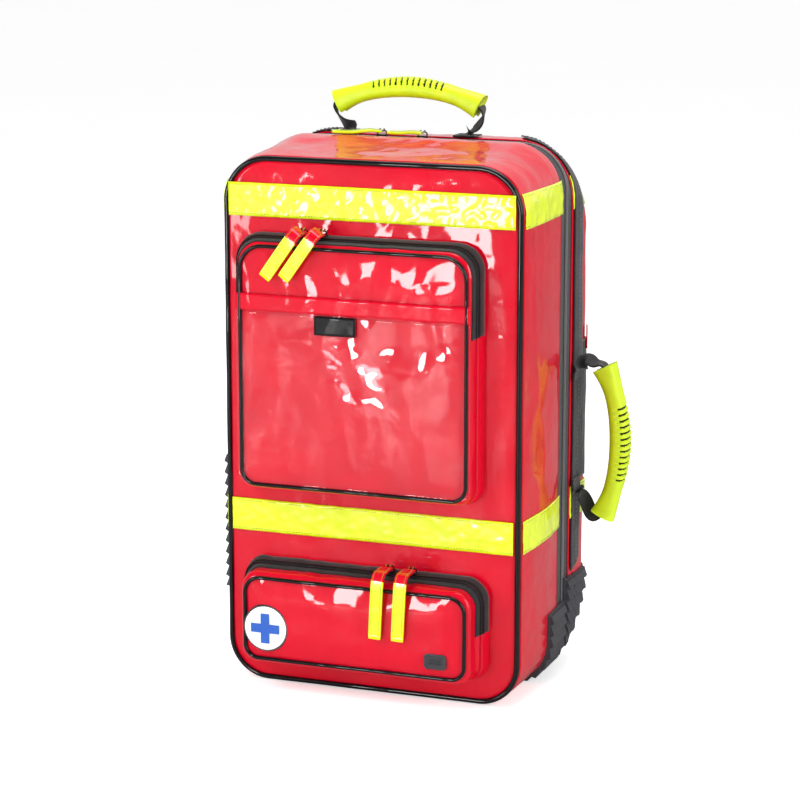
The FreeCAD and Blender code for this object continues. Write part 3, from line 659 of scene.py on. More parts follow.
# The grip's last number, 0.05, is a painted glow that makes the yellow rubber look fluorescent.
GRIP = rubber("yellow_grip_rubber", rgb(206, 234, 24), 0.42, 0.05, 0.05)
SLOT = rubber("black_slot_rubber", rgb(16, 18, 10), 0.7)
CLEAR = clear_vinyl("clear_vinyl")
RED_THREAD = cloth("red_thread", rgb(150, 8, 24), 0.8, 0.03)
YELLOW_THREAD = cloth("yellow_thread", rgb(150, 165, 10), 0.8, 0.03)
GREY_THREAD = cloth("grey_thread", rgb(120, 120, 124), 0.8, 0.03)
WHITE_THREAD = cloth("white_thread", rgb(222, 222, 224), 0.8, 0.03, light=1.1)
METAL = moulded("black_painted_metal", rgb(24, 24, 26), 0.28, 0.6)
SILVER = moulded("silver_ring_metal", rgb(188, 190, 194), 0.22, 1.0)
MESH = cloth("black_spacer_mesh", rgb(34, 34, 38), 3.2, 0.5, 0.9)
FOAM = rubber("grey_foam", rgb(70, 70, 74), 0.9, 0.2)
STIFF = moulded("grey_stiffener", rgb(84, 84, 88), 0.55)
PLASTIC = moulded("black_buckle_plastic", rgb(28, 28, 30), 0.4)
WHITE = moulded("white_badge_print", rgb(238, 240, 242), 0.35)
BLUE = moulded("blue_badge_print", rgb(28, 84, 176), 0.35)

# ---------------------------------------------------------------- body shells


def place(piece, body, slot, *nodes):
    """Attaches a finished piece to its body and hides the CAD nodes it stands for. Its slot is not used."""
    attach(piece, body)
    return finished(piece, nodes)


def bent(piece, parent, child, start, end, slot, *nodes):
    """Bakes a finished piece's transform into its mesh and hides the CAD nodes it stands for; nothing bends
    it. The two bodies, parent and child, are not used.
    """
    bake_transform(piece)
    return finished(piece, nodes)


def finished(piece, nodes):
    if nodes:
        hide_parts(*nodes)
    return piece


def smooth_steps(start, end, pitch):
    return np.linspace(start, end, max(2, int(round(abs(end - start) / pitch)) + 1))


FRONT_YS = smooth_steps(FRONT_Y + CORD_R, GUSSET_EDGE, 3.4)
FRONT_GRID, FRONT_NORMALS = body_grid(FRONT_YS)


def front_shell():
    shell = sheet("front_shell", FRONT_GRID, [RED, LINING], closed=True, flip=True)
    place(shell, "front_half", "red_tarpaulin", "front_gusset")
    row = int(np.abs(FRONT_YS - (GUSSET_EDGE - 4)).argmin())
    path = FRONT_GRID[row]
    run = clear_run(path, ZIP_LOW)
    seam = stitching("front_shell_stitches", [(path[run], FRONT_NORMALS[row][run])], RED_THREAD)
    place(seam, "front_half", "red_tarpaulin")


def rear_shell():
    grid, _ = body_grid(smooth_steps(REAR_EDGE, REAR_Y, 2.8))
    shell = sheet("rear_shell", grid, [RED, LINING], closed=True, flip=True)
    place(shell, "rear_half", "red_tarpaulin", "rear_gusset")


def base_strip(name, y0, y1, body):
    """Fabric across the base between a gusset and the hinge line, below the zip's ends."""
    ys = smooth_steps(y0, y1, 3.4)
    low = np.flatnonzero(body_ring(ys[0])[0][:, 2] <= ZIP_LOW + 6)
    start = int(np.argmax(np.diff(low))) + 1
    grid, _ = body_rows(ys, run=np.concatenate([low[start:], low[:start]]))
    place(sheet(name, grid, [RED, LINING], flip=True), body, "red_tarpaulin")


def zip_side(name, body, y0, y1, coil_y, node):
    """Tape under the gusset's edge and half of the coil."""
    ys = smooth_steps(y0, y1, 3.0)
    run = clear_run(body_ring(ys[0], -WALL_T)[0], ZIP_LOW)
    grid, _ = body_rows(ys, -WALL_T, run)
    place(sheet(name + "_tape", grid, TAPE, 0.9, flip=True), body, "black_tape", node)
    path, normals = body_ring(coil_y, -0.6)
    place(coil(name + "_coil", path[run], normals[run], GREY_COIL), body, "black_tape")


def front_panel():
    """The bag's front face inside its piping, slightly domed and crumpled."""
    rows = []
    for inset in smooth_steps(CORD_R + 1, HALF_W, 4.0):
        radii = [r * (1 - inset / HALF_W) for r in (R_BASE, R_TOP, R_TOP, R_BASE)]
        dome = 2.2 * min(1.0, (inset - CORD_R) / 40)
        x, z = (-HALF_W + inset, HALF_W - inset), (inset, TOP_FRONT - inset)
        points, _ = ring(x, z, FRONT_Y - 0.4 - dome, radii, BODY_COUNTS)
        points[:, 1] -= crumple(points, 0.9) * min(1.0, (inset - CORD_R) / 14)
        rows.append(points)
    face = sheet("front_face", np.stack(rows), [RED, LINING], closed=True)
    place(face, "front_half", "red_tarpaulin", "front_panel")


def panel_surface(xs, zs, lift):
    """Grid on the crumpled front face."""
    x, z = np.meshgrid(xs, zs, indexing="ij")
    points = np.stack([x, np.full(x.shape, FRONT_Y - 2.6), z], -1)
    points[..., 1] -= crumple(points, 0.9) + lift
    return points


def front_cord():
    r_base, r_top = R_BASE - CORD_R, R_TOP - CORD_R
    x, z = (-HALF_W + CORD_R, HALF_W - CORD_R), (CORD_R, TOP_FRONT - CORD_R)
    path, up = ring(x, z, FRONT_Y, (r_base, r_top, r_top, r_base), BODY_COUNTS)
    path[:, 1] += gradient_noise(path, 40, 31) * 0.7
    cord = loft("front_cord", path, up, 2 * CORD_R, 2 * CORD_R, CORD, closed=True)
    place(cord, "front_half", "black_cord", "front_piping")


front_shell()
rear_shell()
base_strip("front_base_strip", GUSSET_EDGE, SPLIT_Y - 0.3, "front_half")
base_strip("rear_base_strip", SPLIT_Y + 0.3, REAR_EDGE, "rear_half")
zip_side("front_zip", "front_half", GUSSET_EDGE - 6, SPLIT_Y - 0.4, SPLIT_Y - 2.1, "front_zip_half")
zip_side("rear_zip", "rear_half", SPLIT_Y + 0.4, REAR_EDGE + 6, SPLIT_Y + 2.1, "rear_zip_half")
front_panel()
front_cord()

# ---------------------------------------------------------------- bands, guards and patches

BAND_HEIGHT = 36.0
SIDE_BAND_X = 112.0  # where the side bands end on top of the shoulders


def side_surface(side, ys, zs, lift):
    """Grid on the crumpled side wall, which is the right one for side 1."""
    y, z = np.meshgrid(ys, zs, indexing="ij")
    radius = R_TOP + (DROOP_RIGHT if side > 0 else DROOP_LEFT) * droop(y)
    into = np.clip(z - (top_height(y) - radius), 0, radius * 0.99)
    reach = np.sqrt(radius**2 - into**2)
    nx, nz = reach / radius, into / radius
    share = np.sin(np.pi * np.clip(z / TOP_FRONT, 0, 1)) ** 0.5
    x = half_width(y) - radius + reach + nx * bulge(y) * share
    points = np.stack([side * x, y, z], -1)
    height = crumple(points) * calm(ys)[:, None] + lift
    return points + np.stack([side * nx * height, np.zeros(y.shape), nz * height], -1)


def crinkled(grid, seed):
    """Adds short crinkles along the grid's normals."""
    return grid + grid_normals(grid) * (folds(grid, 11, seed) * 0.5)[..., None]


def band_levels():
    """Heights of the rows of the lower and the upper reflective band."""
    low, high = corners("front_reflective_bands")
    for level, base in (("lower", low[2]), ("upper", high[2] - BAND_HEIGHT)):
        yield level, smooth_steps(base, base + BAND_HEIGHT, 2.6)


def reflective_band(name, surface, along, zs, out, seed, body, nodes, flip=False):
    """Crinkled band over a surface; gives the two rows that its stitches follow."""
    band = sheet(name, crinkled(surface(along, zs, 1.0), seed), YELLOW, 0.9, flip=flip)
    place(band, body, "reflective_yellow", *nodes)
    lifted = surface(along, zs, 1.7)
    return [(lifted[:, 1], out), (lifted[:, -2], out)]


def reflective_wings(name, y0, y1, body, *nodes):
    ys = smooth_steps(y0, y1, 3.2)
    rows = []
    for level, zs in band_levels():
        for side, word in SIDES:
            rows += reflective_band(f"{name}_{level}_{word}", partial(side_surface, side), ys, zs,
                                    (side, 0, 0), 61, body, nodes, side < 0)
    place(stitching(name + "_stitches", rows, YELLOW_THREAD), body, "reflective_yellow")


def front_bands():
    xs = smooth_steps(7 - HALF_W, HALF_W - 7, 3.2)
    rows = []
    for level, zs in band_levels():
        rows += reflective_band(f"front_band_{level}", panel_surface, xs, zs, FORWARD, 62, "front_half",
                                ["front_reflective_bands"])
    place(stitching("front_band_stitches", rows, YELLOW_THREAD), "front_half", "reflective_yellow")


def side_bands():
    """Woven band down each side of the rear half, cut off on top of the shoulder."""
    low, high = corners("side_bands")
    ys = smooth_steps(low[1], high[1], 2.6)
    middle = len(ys) // 2
    for side, word in SIDES:
        first, _ = body_ring(ys[0])
        run = np.flatnonzero((side * first[:, 0] > SIDE_BAND_X) & (first[:, 2] > low[2]))
        grid, normals = body_rows(ys, run=run)
        grid += normals * (crumple(grid) * calm(ys)[:, None] + 2.5)[..., None]
        band = sheet(f"side_band_{word}", grid, WEB, 1.3, flip=True)
        place(band, "rear_half", "black_webbing", *(["side_bands"] if side > 0 else []))
        rows = [(grid[middle] + normals[middle] * 0.5, normals[middle])]
        stitches = stitching(f"side_band_{word}_stitches", rows, GREY_THREAD, 5.0, 2.6, 0.45)
        place(stitches, "rear_half", "black_webbing")


RIB_PITCH = 13.0
RIB_LOW = 3.4
RIB_HIGH = 7.4
RIM = 2.2
RIM_WIDTH = 3.0
RIM_STEP = 0.3  # width of the step between the rim and the ribs
GUARD_TURN = 1.45  # how far round the base corner a guard runs, in radians


def rib_height(run):
    """Sawtooth: a flat face leaning out to a sharp lower tip, then cut back in."""
    phase = (run / RIB_PITCH) % 1.0
    return RIB_LOW + (RIB_HIGH - RIB_LOW) * np.where(phase < 0.8, phase / 0.8, (1 - phase) / 0.2)


def ribbed_pad(name, side, y0, y1, top, length, body, *nodes):
    """Moulded pad of sawtooth ribs down the wall and round the base corner, with a thin rim."""
    inner = smooth_steps(y0 + RIM_WIDTH, y1 - RIM_WIDTH, 6.0)
    ys = [y0, y0 + RIM_WIDTH - RIM_STEP, *inner, y1 - RIM_WIDTH + RIM_STEP, y1]
    runs = np.arange(0, length, 0.65)
    ends = (runs < RIM_WIDTH) | (runs > runs[-1] - RIM_WIDTH)
    rows = []
    for index, y in enumerate(ys):
        points, normals = body_ring(y)
        down = np.flatnonzero(points[:, 0] > 40)[::-1]
        down = down[np.abs(points[down, 2] - top).argmin():]
        run = lengths(points[down])
        in_rim = ends | (index < 2 or index > len(ys) - 3)
        height = np.where(in_rim, RIM, rib_height(runs))
        row = along_run(points[down], run, runs) + along_run(normals[down], run, runs) * height[:, None]
        row[:, 2] = np.maximum(row[:, 2], 0.3)
        row[:, 0] *= side
        rows.append(row)
    pad = sheet(name, np.stack(rows), GUARD, 2.4, flip=side < 0)
    for polygon in pad.data.polygons:
        polygon.use_smooth = False
    place(pad, body, "guard_rubber", *nodes)


def corner_guards():
    halves = (("front", corners("front_corner_guards")[0][1], SPLIT_Y - 1), ("rear", SPLIT_Y + 1, REAR_Y - 4))
    for side, word in SIDES:
        for half, y0, y1 in halves:
            node = f"{half}_corner_guards"
            top = corners(node)[1][2]
            length = top - R_BASE + GUARD_TURN * R_BASE
            ribbed_pad(f"{half}_guard_{word}", side, y0, y1, top, length, f"{half}_half",
                       *([node] if side > 0 else []))
    low, high = corners("side_skid")
    ribbed_pad("side_skid_ribs", -1, low[1], high[1], high[2], high[2] - low[2], "front_half", "side_skid")


reflective_wings("front_wing", FRONT_Y + 4, GUSSET_EDGE, "front_half")
reflective_wings("rear_wing", REAR_EDGE, REAR_Y - 4, "rear_half", "rear_reflective_bands")
front_bands()
side_bands()
corner_guards()

# ---------------------------------------------------------------- pockets

FLANGE = 7.0
POCKET_TAPE = 9.0
POCKET_COUNTS = (66, 66, 14)
ZIP_REACH = 8.6  # half of the depth that the zip's two tapes cover
WINDOW_R = 12.0


class Pocket:
    """A zipped pocket on the front: its sewn form from the CAD nodes, and its own softness."""

    def __init__(self, name, wall, flap_body, radii, edge, puff, ends, gather, slope, cord_nodes=()):
        self.name, self.flap_body, self.cord_nodes = name, flap_body, cord_nodes
        self.wall, self.flap = wall, f"{name}_flap"
        self.x, _, (base, _) = spans(wall)
        self.z = base, corners(self.flap)[1][2]
        _, self.front, self.hinge = pivot(f"{flap_body}_hinge")
        self.base = FRONT_Y - 1.2
        self.split = FRONT_Y - 3.2 - FLANGE - POCKET_TAPE
        self.radii, self.edge, self.puff, self.ends, self.gather = radii, edge, puff, ends, gather
        self.slope = slope
        self.half_x, self.half_z = (self.x[1] - self.x[0]) / 2, (self.z[1] - self.z[0]) / 2

    def ring_at(self, inset, y):
        """Ring round the pocket at depth y. The zip's zone slopes, so that the zip faces forward."""
        (x0, x1), (z0, z1) = self.x, self.z
        lean = np.interp(y, (self.split - ZIP_REACH, self.split + ZIP_REACH), (self.slope, 0))
        grow = inset + lean
        low, high = [r * np.clip(1 - grow / min(self.half_x, self.half_z), 0, 1) for r in self.radii]
        z = z0 + grow - 0.7 * lean, z1 - grow
        return ring((x0 + grow, x1 - grow), z, y, (low, high, high, low), POCKET_COUNTS)

    def soft(self, points, normals, strength):
        """Crumples points along their normals, with gathers running out of the zip's seam."""
        top = np.clip((points[..., 2] - self.hinge) / (self.z[1] - self.hinge), 0, 1)
        below = np.clip(self.z[1] - 6 - points[..., 2], 0, 200)
        from_zip = np.abs(points[..., 1] - self.split) + below
        pleat = gradient_noise(points * (1, 0.25, 0.2), 15, 41)
        height = crumple(points, 0.8, 23) + self.gather * pleat * np.exp(-from_zip / 30) * top * 2.2
        return points + np.asarray(normals) * (height * strength)[..., None]

    def wall_row(self, y, lift=0.0):
        points, normals = self.ring_at(0, y)
        near_seam = np.clip((self.base - y) / 10, 0, 1)
        near_zip = np.clip(np.abs(y - self.split) / 12, 0.15, 1)
        return self.soft(points, normals, near_seam * near_zip) + normals * lift, normals

    def face_rows(self):
        """Rows from the split line over the face's rounded edge to the middle of the face."""
        centre_y = self.front + self.edge
        rows = [self.wall_row(y)[0] for y in smooth_steps(self.split - 0.2, centre_y, 2.6)]
        for angle in np.radians(np.linspace(0, 90, 7)[1:]):
            inset = self.edge * (1 - math.cos(angle))
            points, normals = self.ring_at(inset, centre_y - self.edge * math.sin(angle))
            lean = normals * math.cos(angle) + np.array((0, -math.sin(angle), 0))
            rows.append(self.soft(points, lean, 0.8))
        deepest = min(self.half_x - self.slope, self.half_z - 0.65 * self.slope)
        rows += [self.face_row(inset) for inset in smooth_steps(self.edge, deepest, 3.4)[1:]]
        return np.stack(rows)

    def face_row(self, inset):
        points, _ = self.ring_at(inset, self.front)
        share = min(1.0, (inset - self.edge) / 30)
        points[:, 1] -= self.puff * math.sin(share * math.pi / 2)
        return self.soft(points, FORWARD, 0.8 + 0.3 * share)

    def bend(self, piece, slot, *nodes):
        start, end = (0, self.front, self.hinge - 5), (0, self.front, self.hinge + 5)
        return bent(piece, "front_half", self.flap_body, start, end, slot, *nodes)

    def zipped(self, points):
        """Ring indices that the zip runs along: from its right end over the top to its left end."""
        left_end, right_end = self.ends
        low = np.where(points[:, 0] > sum(self.x) / 2, right_end, left_end)
        return np.flatnonzero(points[:, 2] > low)

    def build(self):
        wall = np.stack([self.wall_row(y)[0] for y in smooth_steps(self.base, self.split + 0.2, 2.6)])
        wall = sheet(f"{self.name}_wall", wall, [RED, LINING], closed=True)
        place(wall, "front_half", "red_tarpaulin", self.wall)
        front = sheet(f"{self.name}_front", self.face_rows(), [RED_PUFFED, LINING], closed=True)
        self.bend(front, "red_tarpaulin", self.flap)
        flange, normals = self.wall_row(self.base - 4.4, 0.5)
        run = self.zipped(flange)
        seam = stitching(f"{self.name}_flange_stitches", [(flange[run], normals[run])], RED_THREAD)
        place(seam, "front_half", "red_tarpaulin")
        tape, teeth = self.zip_half("fixed", self.base - 7, self.split + 0.3, self.split + 2.0)
        place(tape, "front_half", "black_tape", "pocket_zip_tapes")
        place(teeth, "front_half", "black_tape")
        tape, teeth = self.zip_half("flap", self.split - 0.3, self.split - ZIP_REACH, self.split - 2.0)
        self.bend(tape, "black_tape", f"{self.flap_body}_zip")
        self.bend(teeth, "black_tape")
        path, up = self.ring_at(self.edge, self.front - 1.6)
        path = self.soft(path, FORWARD, 0.8)
        cord = loft(f"{self.name}_cord", path, up, 4.2, 4.2, CORD, closed=True)
        self.bend(cord, "black_cord", *self.cord_nodes)

    def zip_half(self, which, y0, y1, coil_y):
        """Tape and coil of one half of the zip."""
        run = self.zipped(self.ring_at(0, self.split)[0])
        grid = np.stack([self.wall_row(y, 0.9)[0][run] for y in smooth_steps(y0, y1, 2.2)])
        tape = sheet(f"{self.name}_{which}_tape", grid, TAPE, 0.8)
        path, normals = self.wall_row(coil_y, 1.6)
        return tape, coil(f"{self.name}_{which}_coil", path[run], normals[run], COIL, 1.9, 3.2, 0.7)


UPPER = Pocket(
    "upper_pocket", "upper_pocket_gusset", "upper_flap", radii=(18.0, 28.0), edge=4.0, puff=2.0,
    ends=(425.0, 404.0), gather=0.35, slope=7.0, cord_nodes=("upper_pocket_piping",),
)
LOWER = Pocket(
    "lower_pocket", "lower_pocket_shell", "lower_flap", radii=(20.0, 24.0), edge=6.0, puff=4.5,
    ends=(92.0, 84.0), gather=1.0, slope=8.0,
)


def face_patch(pocket, x, z, lift, pitch=3.0):
    """Grid over ranges of x and z on the pocket's face, held lift mm in front of it."""
    gx, gz = np.meshgrid(smooth_steps(*x, pitch), smooth_steps(*z, pitch), indexing="ij")
    inset = np.minimum.reduce([gx - pocket.x[0], pocket.x[1] - gx, gz - pocket.z[0], pocket.z[1] - gz])
    share = np.clip((inset - pocket.slope - pocket.edge) / 30, 0, 1)
    points = np.stack([gx, pocket.front - pocket.puff * np.sin(share * np.pi / 2), gz], -1)
    points = pocket.soft(points, FORWARD, 0.8 + 0.3 * share)
    points[..., 1] -= lift
    return points


def window_sheet():
    """Clear window with its two lower corners rounded."""
    x, _, z = spans("window")
    grid = face_patch(UPPER, x, z, 1.5)
    from_side = np.minimum(grid[..., 0] - x[0], x[1] - grid[..., 0])
    rise = WINDOW_R - np.sqrt(WINDOW_R**2 - np.clip(WINDOW_R - from_side, 0, WINDOW_R) ** 2)
    grid[..., 2] = np.maximum(grid[..., 2], z[0] + rise)
    place(sheet("window_sheet", grid, CLEAR, 0.5), "front_half", "clear_vinyl", "window")


def sewn_patch(node, name, lift, material, slot, thread, end_row, **stitch):
    """Patch on the upper pocket's face with stitches along its first row and one more."""
    x, _, z = spans(node)
    grid = face_patch(UPPER, x, z, lift)
    place(sheet(name, grid, material, 0.9), "front_half", slot, node)
    edge = grid - (0, 0.4, 0)
    rows = [(edge[:, 1], FORWARD), (edge[end_row], FORWARD)]
    place(stitching(f"{node}_stitches", rows, thread, **stitch), "front_half", slot)


UPPER.build()
LOWER.build()
window_sheet()
sewn_patch("window_trim", "window_trim_strip", 2.2, RED, "red_tarpaulin", RED_THREAD, np.s_[:, -2])
sewn_patch("window_label", "window_label_patch", 3.2, BLACK_VINYL, "black_vinyl", WHITE_THREAD, -2,
           pitch=2.6, length=1.5, radius=0.35)

# ---------------------------------------------------------------- badge and tag

DISC_POINTS = 72
STITCH_POINTS = 120


def frame_of(name, shape, holes, y, thick, material, edge=0.6):
    """Upright plate with holes, given as (x, z) outlines, with an edge rounded beyond them."""
    curve = bpy.data.curves.new(name, "CURVE")
    curve.dimensions = "2D"
    curve.fill_mode = "BOTH"
    curve.extrude = thick / 2 * MM
    curve.bevel_depth = edge * MM
    curve.bevel_resolution = 2
    for points in (shape, *holes):
        line = curve.splines.new("POLY")
        line.points.add(len(points) - 1)
        for point, (x, z) in zip(line.points, points):
            point.co = (x * MM, z * MM, 0, 1)
        line.use_cyclic_u = True
    flat = linked(name + "_flat", curve)
    mesh = shown_mesh(flat)
    bpy.data.objects.remove(flat)
    mesh.transform(Matrix.Translation((0, y * MM, 0)) @ Matrix.Rotation(math.radians(90), 4, "X"))
    mesh.materials.clear()
    mesh.materials.append(material)
    return linked(name, mesh)


def shown_mesh(thing):
    """Mesh of an object with its modifiers applied."""
    graph = bpy.context.evaluated_depsgraph_get()
    return bpy.data.meshes.new_from_object(thing.evaluated_get(graph), depsgraph=graph)


def rounded(x, z, radius):
    return outline(x, z, [radius] * 4, (2, 2, 6))[0].tolist()


def face_y(pocket, x, z):
    """Foremost y of the pocket's face over a few points."""
    return face_patch(pocket, x, z, 0.0, 6.0)[..., 1].min()


def circle(centre, radius, y, count):
    """Points of an upright circle round an (x, z) centre."""
    angles = np.linspace(0, 2 * np.pi, count, endpoint=False)
    return upright(np.stack([centre[0] + radius * np.cos(angles), centre[1] + radius * np.sin(angles)], 1), y)


def domed_disc(name, centre, radius, y, thick, material):
    """Round plate with a rolled rim, seen from the front."""
    profile = [(radius, thick), (radius, thick * 0.35), (radius - 0.5, 0.15), (radius - 1.3, 0.0)]
    profile += [(radius * share, 0.0) for share in (0.8, 0.55, 0.3, 0.02)]
    rings = [circle(centre, r, y + back, DISC_POINTS) for r, back in profile]
    return sheet(name, np.stack(rings), material, 0.8, closed=True)


def badge():
    """Round white badge with a black rim, its stitches and a plain blue plus."""
    low, high = corners("badge_backing")
    centre = (low[0] + high[0]) / 2, (low[2] + high[2]) / 2
    radius = (high[0] - low[0]) / 2
    reach = radius * 0.8
    behind_it = face_y(LOWER, (centre[0] - reach, centre[0] + reach), (centre[1] - reach, centre[1] + reach))
    front = min(corners("badge_disc")[0][1], behind_it - 1.4)
    backing = domed_disc("badge_rim", centre, radius, front + 1.2, 5.0, BLACK_VINYL)
    place(backing, "lower_flap", "black_vinyl", "badge_backing")
    disc = domed_disc("badge_print", centre, radius - 2.2, front, 1.6, WHITE)
    place(disc, "lower_flap", "badge_white", "badge_disc")
    rows = [(circle(centre, radius - 1.2, front + 1.0, STITCH_POINTS), FORWARD)]
    stitches = stitching("badge_stitches", rows, GREY_THREAD, 2.6, 1.7, 0.35, closed=True)
    place(stitches, "lower_flap", "black_vinyl")
    plus(centre, front - 0.7, radius * 0.62, radius * 0.18)


def plus(centre, y, reach, half):
    """Plain blue plus, printed slightly raised."""
    shape = [(half, half), (reach, half), (reach, -half), (half, -half), (half, -reach), (-half, -reach)]
    shape += [(-x, -z) for x, z in shape]
    shape = [(centre[0] + x, centre[1] + z) for x, z in shape]
    place(frame_of("badge_plus", shape, [], y, 0.4, BLUE, 0.2), "lower_flap", "badge_white")


TAG_PROFILE = ((0, 4.0), (0, 0.8), (0.5, 0.1), (1.3, 0.0), (2.0, 0.1), (2.5, 0.9), (3.4, 1.0), (8.4, 1.0))


def maker_tag():
    """Blank rubber pill with a raised rim and three short ridges inside it."""
    low, high = corners("maker_tag")
    x, z = (low[0], high[0]), (low[2], high[2])
    middle_x, middle_z = sum(x) / 2, sum(z) / 2
    front = min(low[1], face_y(LOWER, x, z) - 1.8)
    rings = []
    for inset, back in TAG_PROFILE:
        span_x, span_z = (x[0] + inset, x[1] - inset), (z[0] + inset, z[1] - inset)
        rings.append(ring(span_x, span_z, front + back, [max(4.0 - inset, 0)] * 4, (10, 16, 6))[0])
    pill = sheet("maker_tag_pill", np.stack(rings), GUARD, 0.8, closed=True)
    place(pill, "lower_flap", "guard_rubber", "maker_tag")
    for index, rise in enumerate((-2.6, 0, 2.6)):
        ends = [(middle_x + reach, front + 0.5, middle_z + rise) for reach in (-7, 7)]
        bar = loft(f"maker_tag_ridge_{index}", ends, FORWARD, 1.2, 1.2, GUARD, 3, 10)
        place(bar, "lower_flap", "guard_rubber")


badge()
maker_tag()

# ---------------------------------------------------------------- handles

GRIP_HALF = 84.0
GRIP_RISE = 20.0
GRIP_TOP = 64.0
GRIP_LIP = 3.0
GRIP_SIDES = 44
GRIP_SLOTS = 13
GRIP_PITCH = 6.6
GRIP_RADIUS = (GRIP_HALF**2 + GRIP_RISE**2) / (2 * GRIP_RISE)
LEG_POINTS = 34


def arch(run, height):
    """Points and upward directions along the grip's arch, run mm from its middle at a height."""
    angle = run / GRIP_RADIUS
    up = upright(np.stack([np.sin(angle), np.cos(angle)], 1))
    return up * GRIP_RADIUS + (0, 0, height - GRIP_RADIUS), up


def grip_grid():
    """Rubber grip along x: flared, lipped ends and slots cut slantwise over its outer side."""
    slotted = GRIP_SLOTS * GRIP_PITCH / 2 + 3
    end = GRIP_HALF + GRIP_LIP
    runs = np.concatenate([smooth_steps(-end, -slotted, 2.5)[:-1], smooth_steps(-slotted, slotted, 0.5),
                           smooth_steps(slotted, end, 2.5)[1:]])
    share = np.abs(runs) / end
    flare = np.clip((share - 0.62) / 0.38, 0, 1) ** 1.5
    waist = np.cos(np.clip(share / 0.75, 0, 1) * np.pi / 2) ** 2
    widths = 23.0 + 3.0 * waist + 2.5 * flare
    heights = 20.0 + 3.0 * waist + 10.0 * flare
    middle, up = arch(runs, GRIP_TOP - 11.0)
    across, high = squared(GRIP_SIDES, 2.7)
    y = across * widths[:, None] / 2
    slanted = runs[:, None] + 0.12 * y
    nearest = np.round(slanted / GRIP_PITCH)
    from_slot = np.abs(slanted - nearest * GRIP_PITCH)
    in_slot = np.clip((1.5 - from_slot) / 0.5, 0, 1) * (np.abs(nearest) <= GRIP_SLOTS // 2)
    in_slot = in_slot * np.clip((high - 0.05) / 0.25, 0, 1)
    shrink = 1 - 0.2 * in_slot
    notch = 8.0 * flare[:, None] * np.clip(-high, 0, 1) * np.exp(-((across * 2.2) ** 2))
    grid = middle[:, None] + np.stack([np.zeros(y.shape), y * shrink, np.zeros(y.shape)], -1)
    grid += up[:, None] * (high * heights[:, None] / 2 * shrink + notch)[..., None]
    return grid, in_slot > 0.5


def place_top(points):
    low, high = corners("top_handle_grip")
    return points + ((low[0] + high[0]) / 2, (low[1] + high[1]) / 2, high[2] - GRIP_TOP)


def place_side(points):
    low, high = corners("side_handle_grip")
    turned = np.stack([points[..., 2], points[..., 1], -points[..., 0]], -1)
    return turned + (high[0] - GRIP_TOP, (low[1] + high[1]) / 2, (low[2] + high[2]) / 2)


def grip(name, mover, body, node):
    grid, dark = grip_grid()
    faces = grid_faces(*dark.shape, True)
    slot_faces = dark.reshape(-1)[faces].mean(axis=1) > 0.5
    which = [*slot_faces, False, False]
    all_faces = faces.tolist() + end_caps(*dark.shape)
    piece = new_piece(name, mover(grid).reshape(-1, 3), all_faces, [GRIP, SLOT], which)
    place(piece, body, "yellow_rubber", node)


def spline(points, count):
    """Smooth curve through control points, by Catmull-Rom."""
    points = np.asarray(points, float)
    padded = np.concatenate([2 * points[:1] - points[1:2], points, 2 * points[-1:] - points[-2:-1]])
    t = np.linspace(0, len(points) - 1, count)
    i = np.minimum(t.astype(int), len(points) - 2)
    f = (t - i)[:, None]
    a, b, c, d = padded[i], padded[i + 1], padded[i + 2], padded[i + 3]
    return 0.5 * (2 * b + (c - a) * f + (2 * a - 5 * b + 4 * c - d) * f**2 + (3 * b - a - 3 * c + d) * f**3)


def leg(name, mover, body, sign, sag, way, *nodes):
    """Webbing from inside the grip's end to its sewn foot, twisting and narrowing on the way. way
    points out of the bag."""
    foot_x = sign * 70 + sag
    points = [(sign * 74, 0, 39), (sign * 86, 0, 33), (sign * 87, 1, 22), (sign * 80 + sag, 2, 12),
              (foot_x, 0, 4), (foot_x - sign * 6, 0, 1.9), (foot_x - sign * 14, 0, 1.6)]
    ups = [(0, 0, 1), (sign, 0, 0.6), (sign, 0.35 * sign, 0), (sign, 0.5 * sign, 0), (sign * 0.7, 0, 0.7),
           (0, 0, 1), (0, 0, 1)]
    widths = (18, 20, 17, 16, 21, 25, 25)
    path, up = spline(points, LEG_POINTS), spline(ups, LEG_POINTS)
    moved = mover(path)
    width = np.interp(np.linspace(0, 1, LEG_POINTS), np.linspace(0, 1, len(widths)), widths)
    strip = loft(name, moved, mover(path + up) - moved, width, 2.4, WEB, 8, 24)
    foot, way = mover(np.array([foot_x, 0.0, 0.0])), np.array(way)
    bent(strip, "rear_half", body, foot + way * 3.0, foot + way * 26.0, "black_webbing", *nodes)


def handle(name, mover, way, sag):
    grip(f"{name}_grip_rubber", mover, name, f"{name}_grip")
    for sign, word in SIDES:
        leg(f"{name}_leg_{word}", mover, name, sign, sag, way, *([f"{name}_webbing"] if sign > 0 else []))


def top_feet():
    """Box-stitched squares under the top handle's feet."""
    rows = []
    for sign, word in SIDES:
        x, y, _ = place_top(np.array([sign * 70.0, 0, 0]))
        size = 12.0
        gx, gy = np.meshgrid(smooth_steps(x - size, x + size, 3.0), smooth_steps(y - size, y + size, 3.0),
                             indexing="ij")
        top = top_height(gy)
        height = top + crumple(np.stack([gx, gy, top], -1)) * 0.3
        square = np.stack([gx, gy, np.maximum(height + 1.2, TOP_REAR + 1.0)], -1)
        place(sheet(f"top_foot_{word}", square, WEB, 1.2), "rear_half", "black_webbing")
        rows += [(square[row] + (0, 0, 0.4), UPWARD) for row in (1, -2)]
    place(stitching("foot_stitches", rows, GREY_THREAD), "rear_half", "black_webbing")


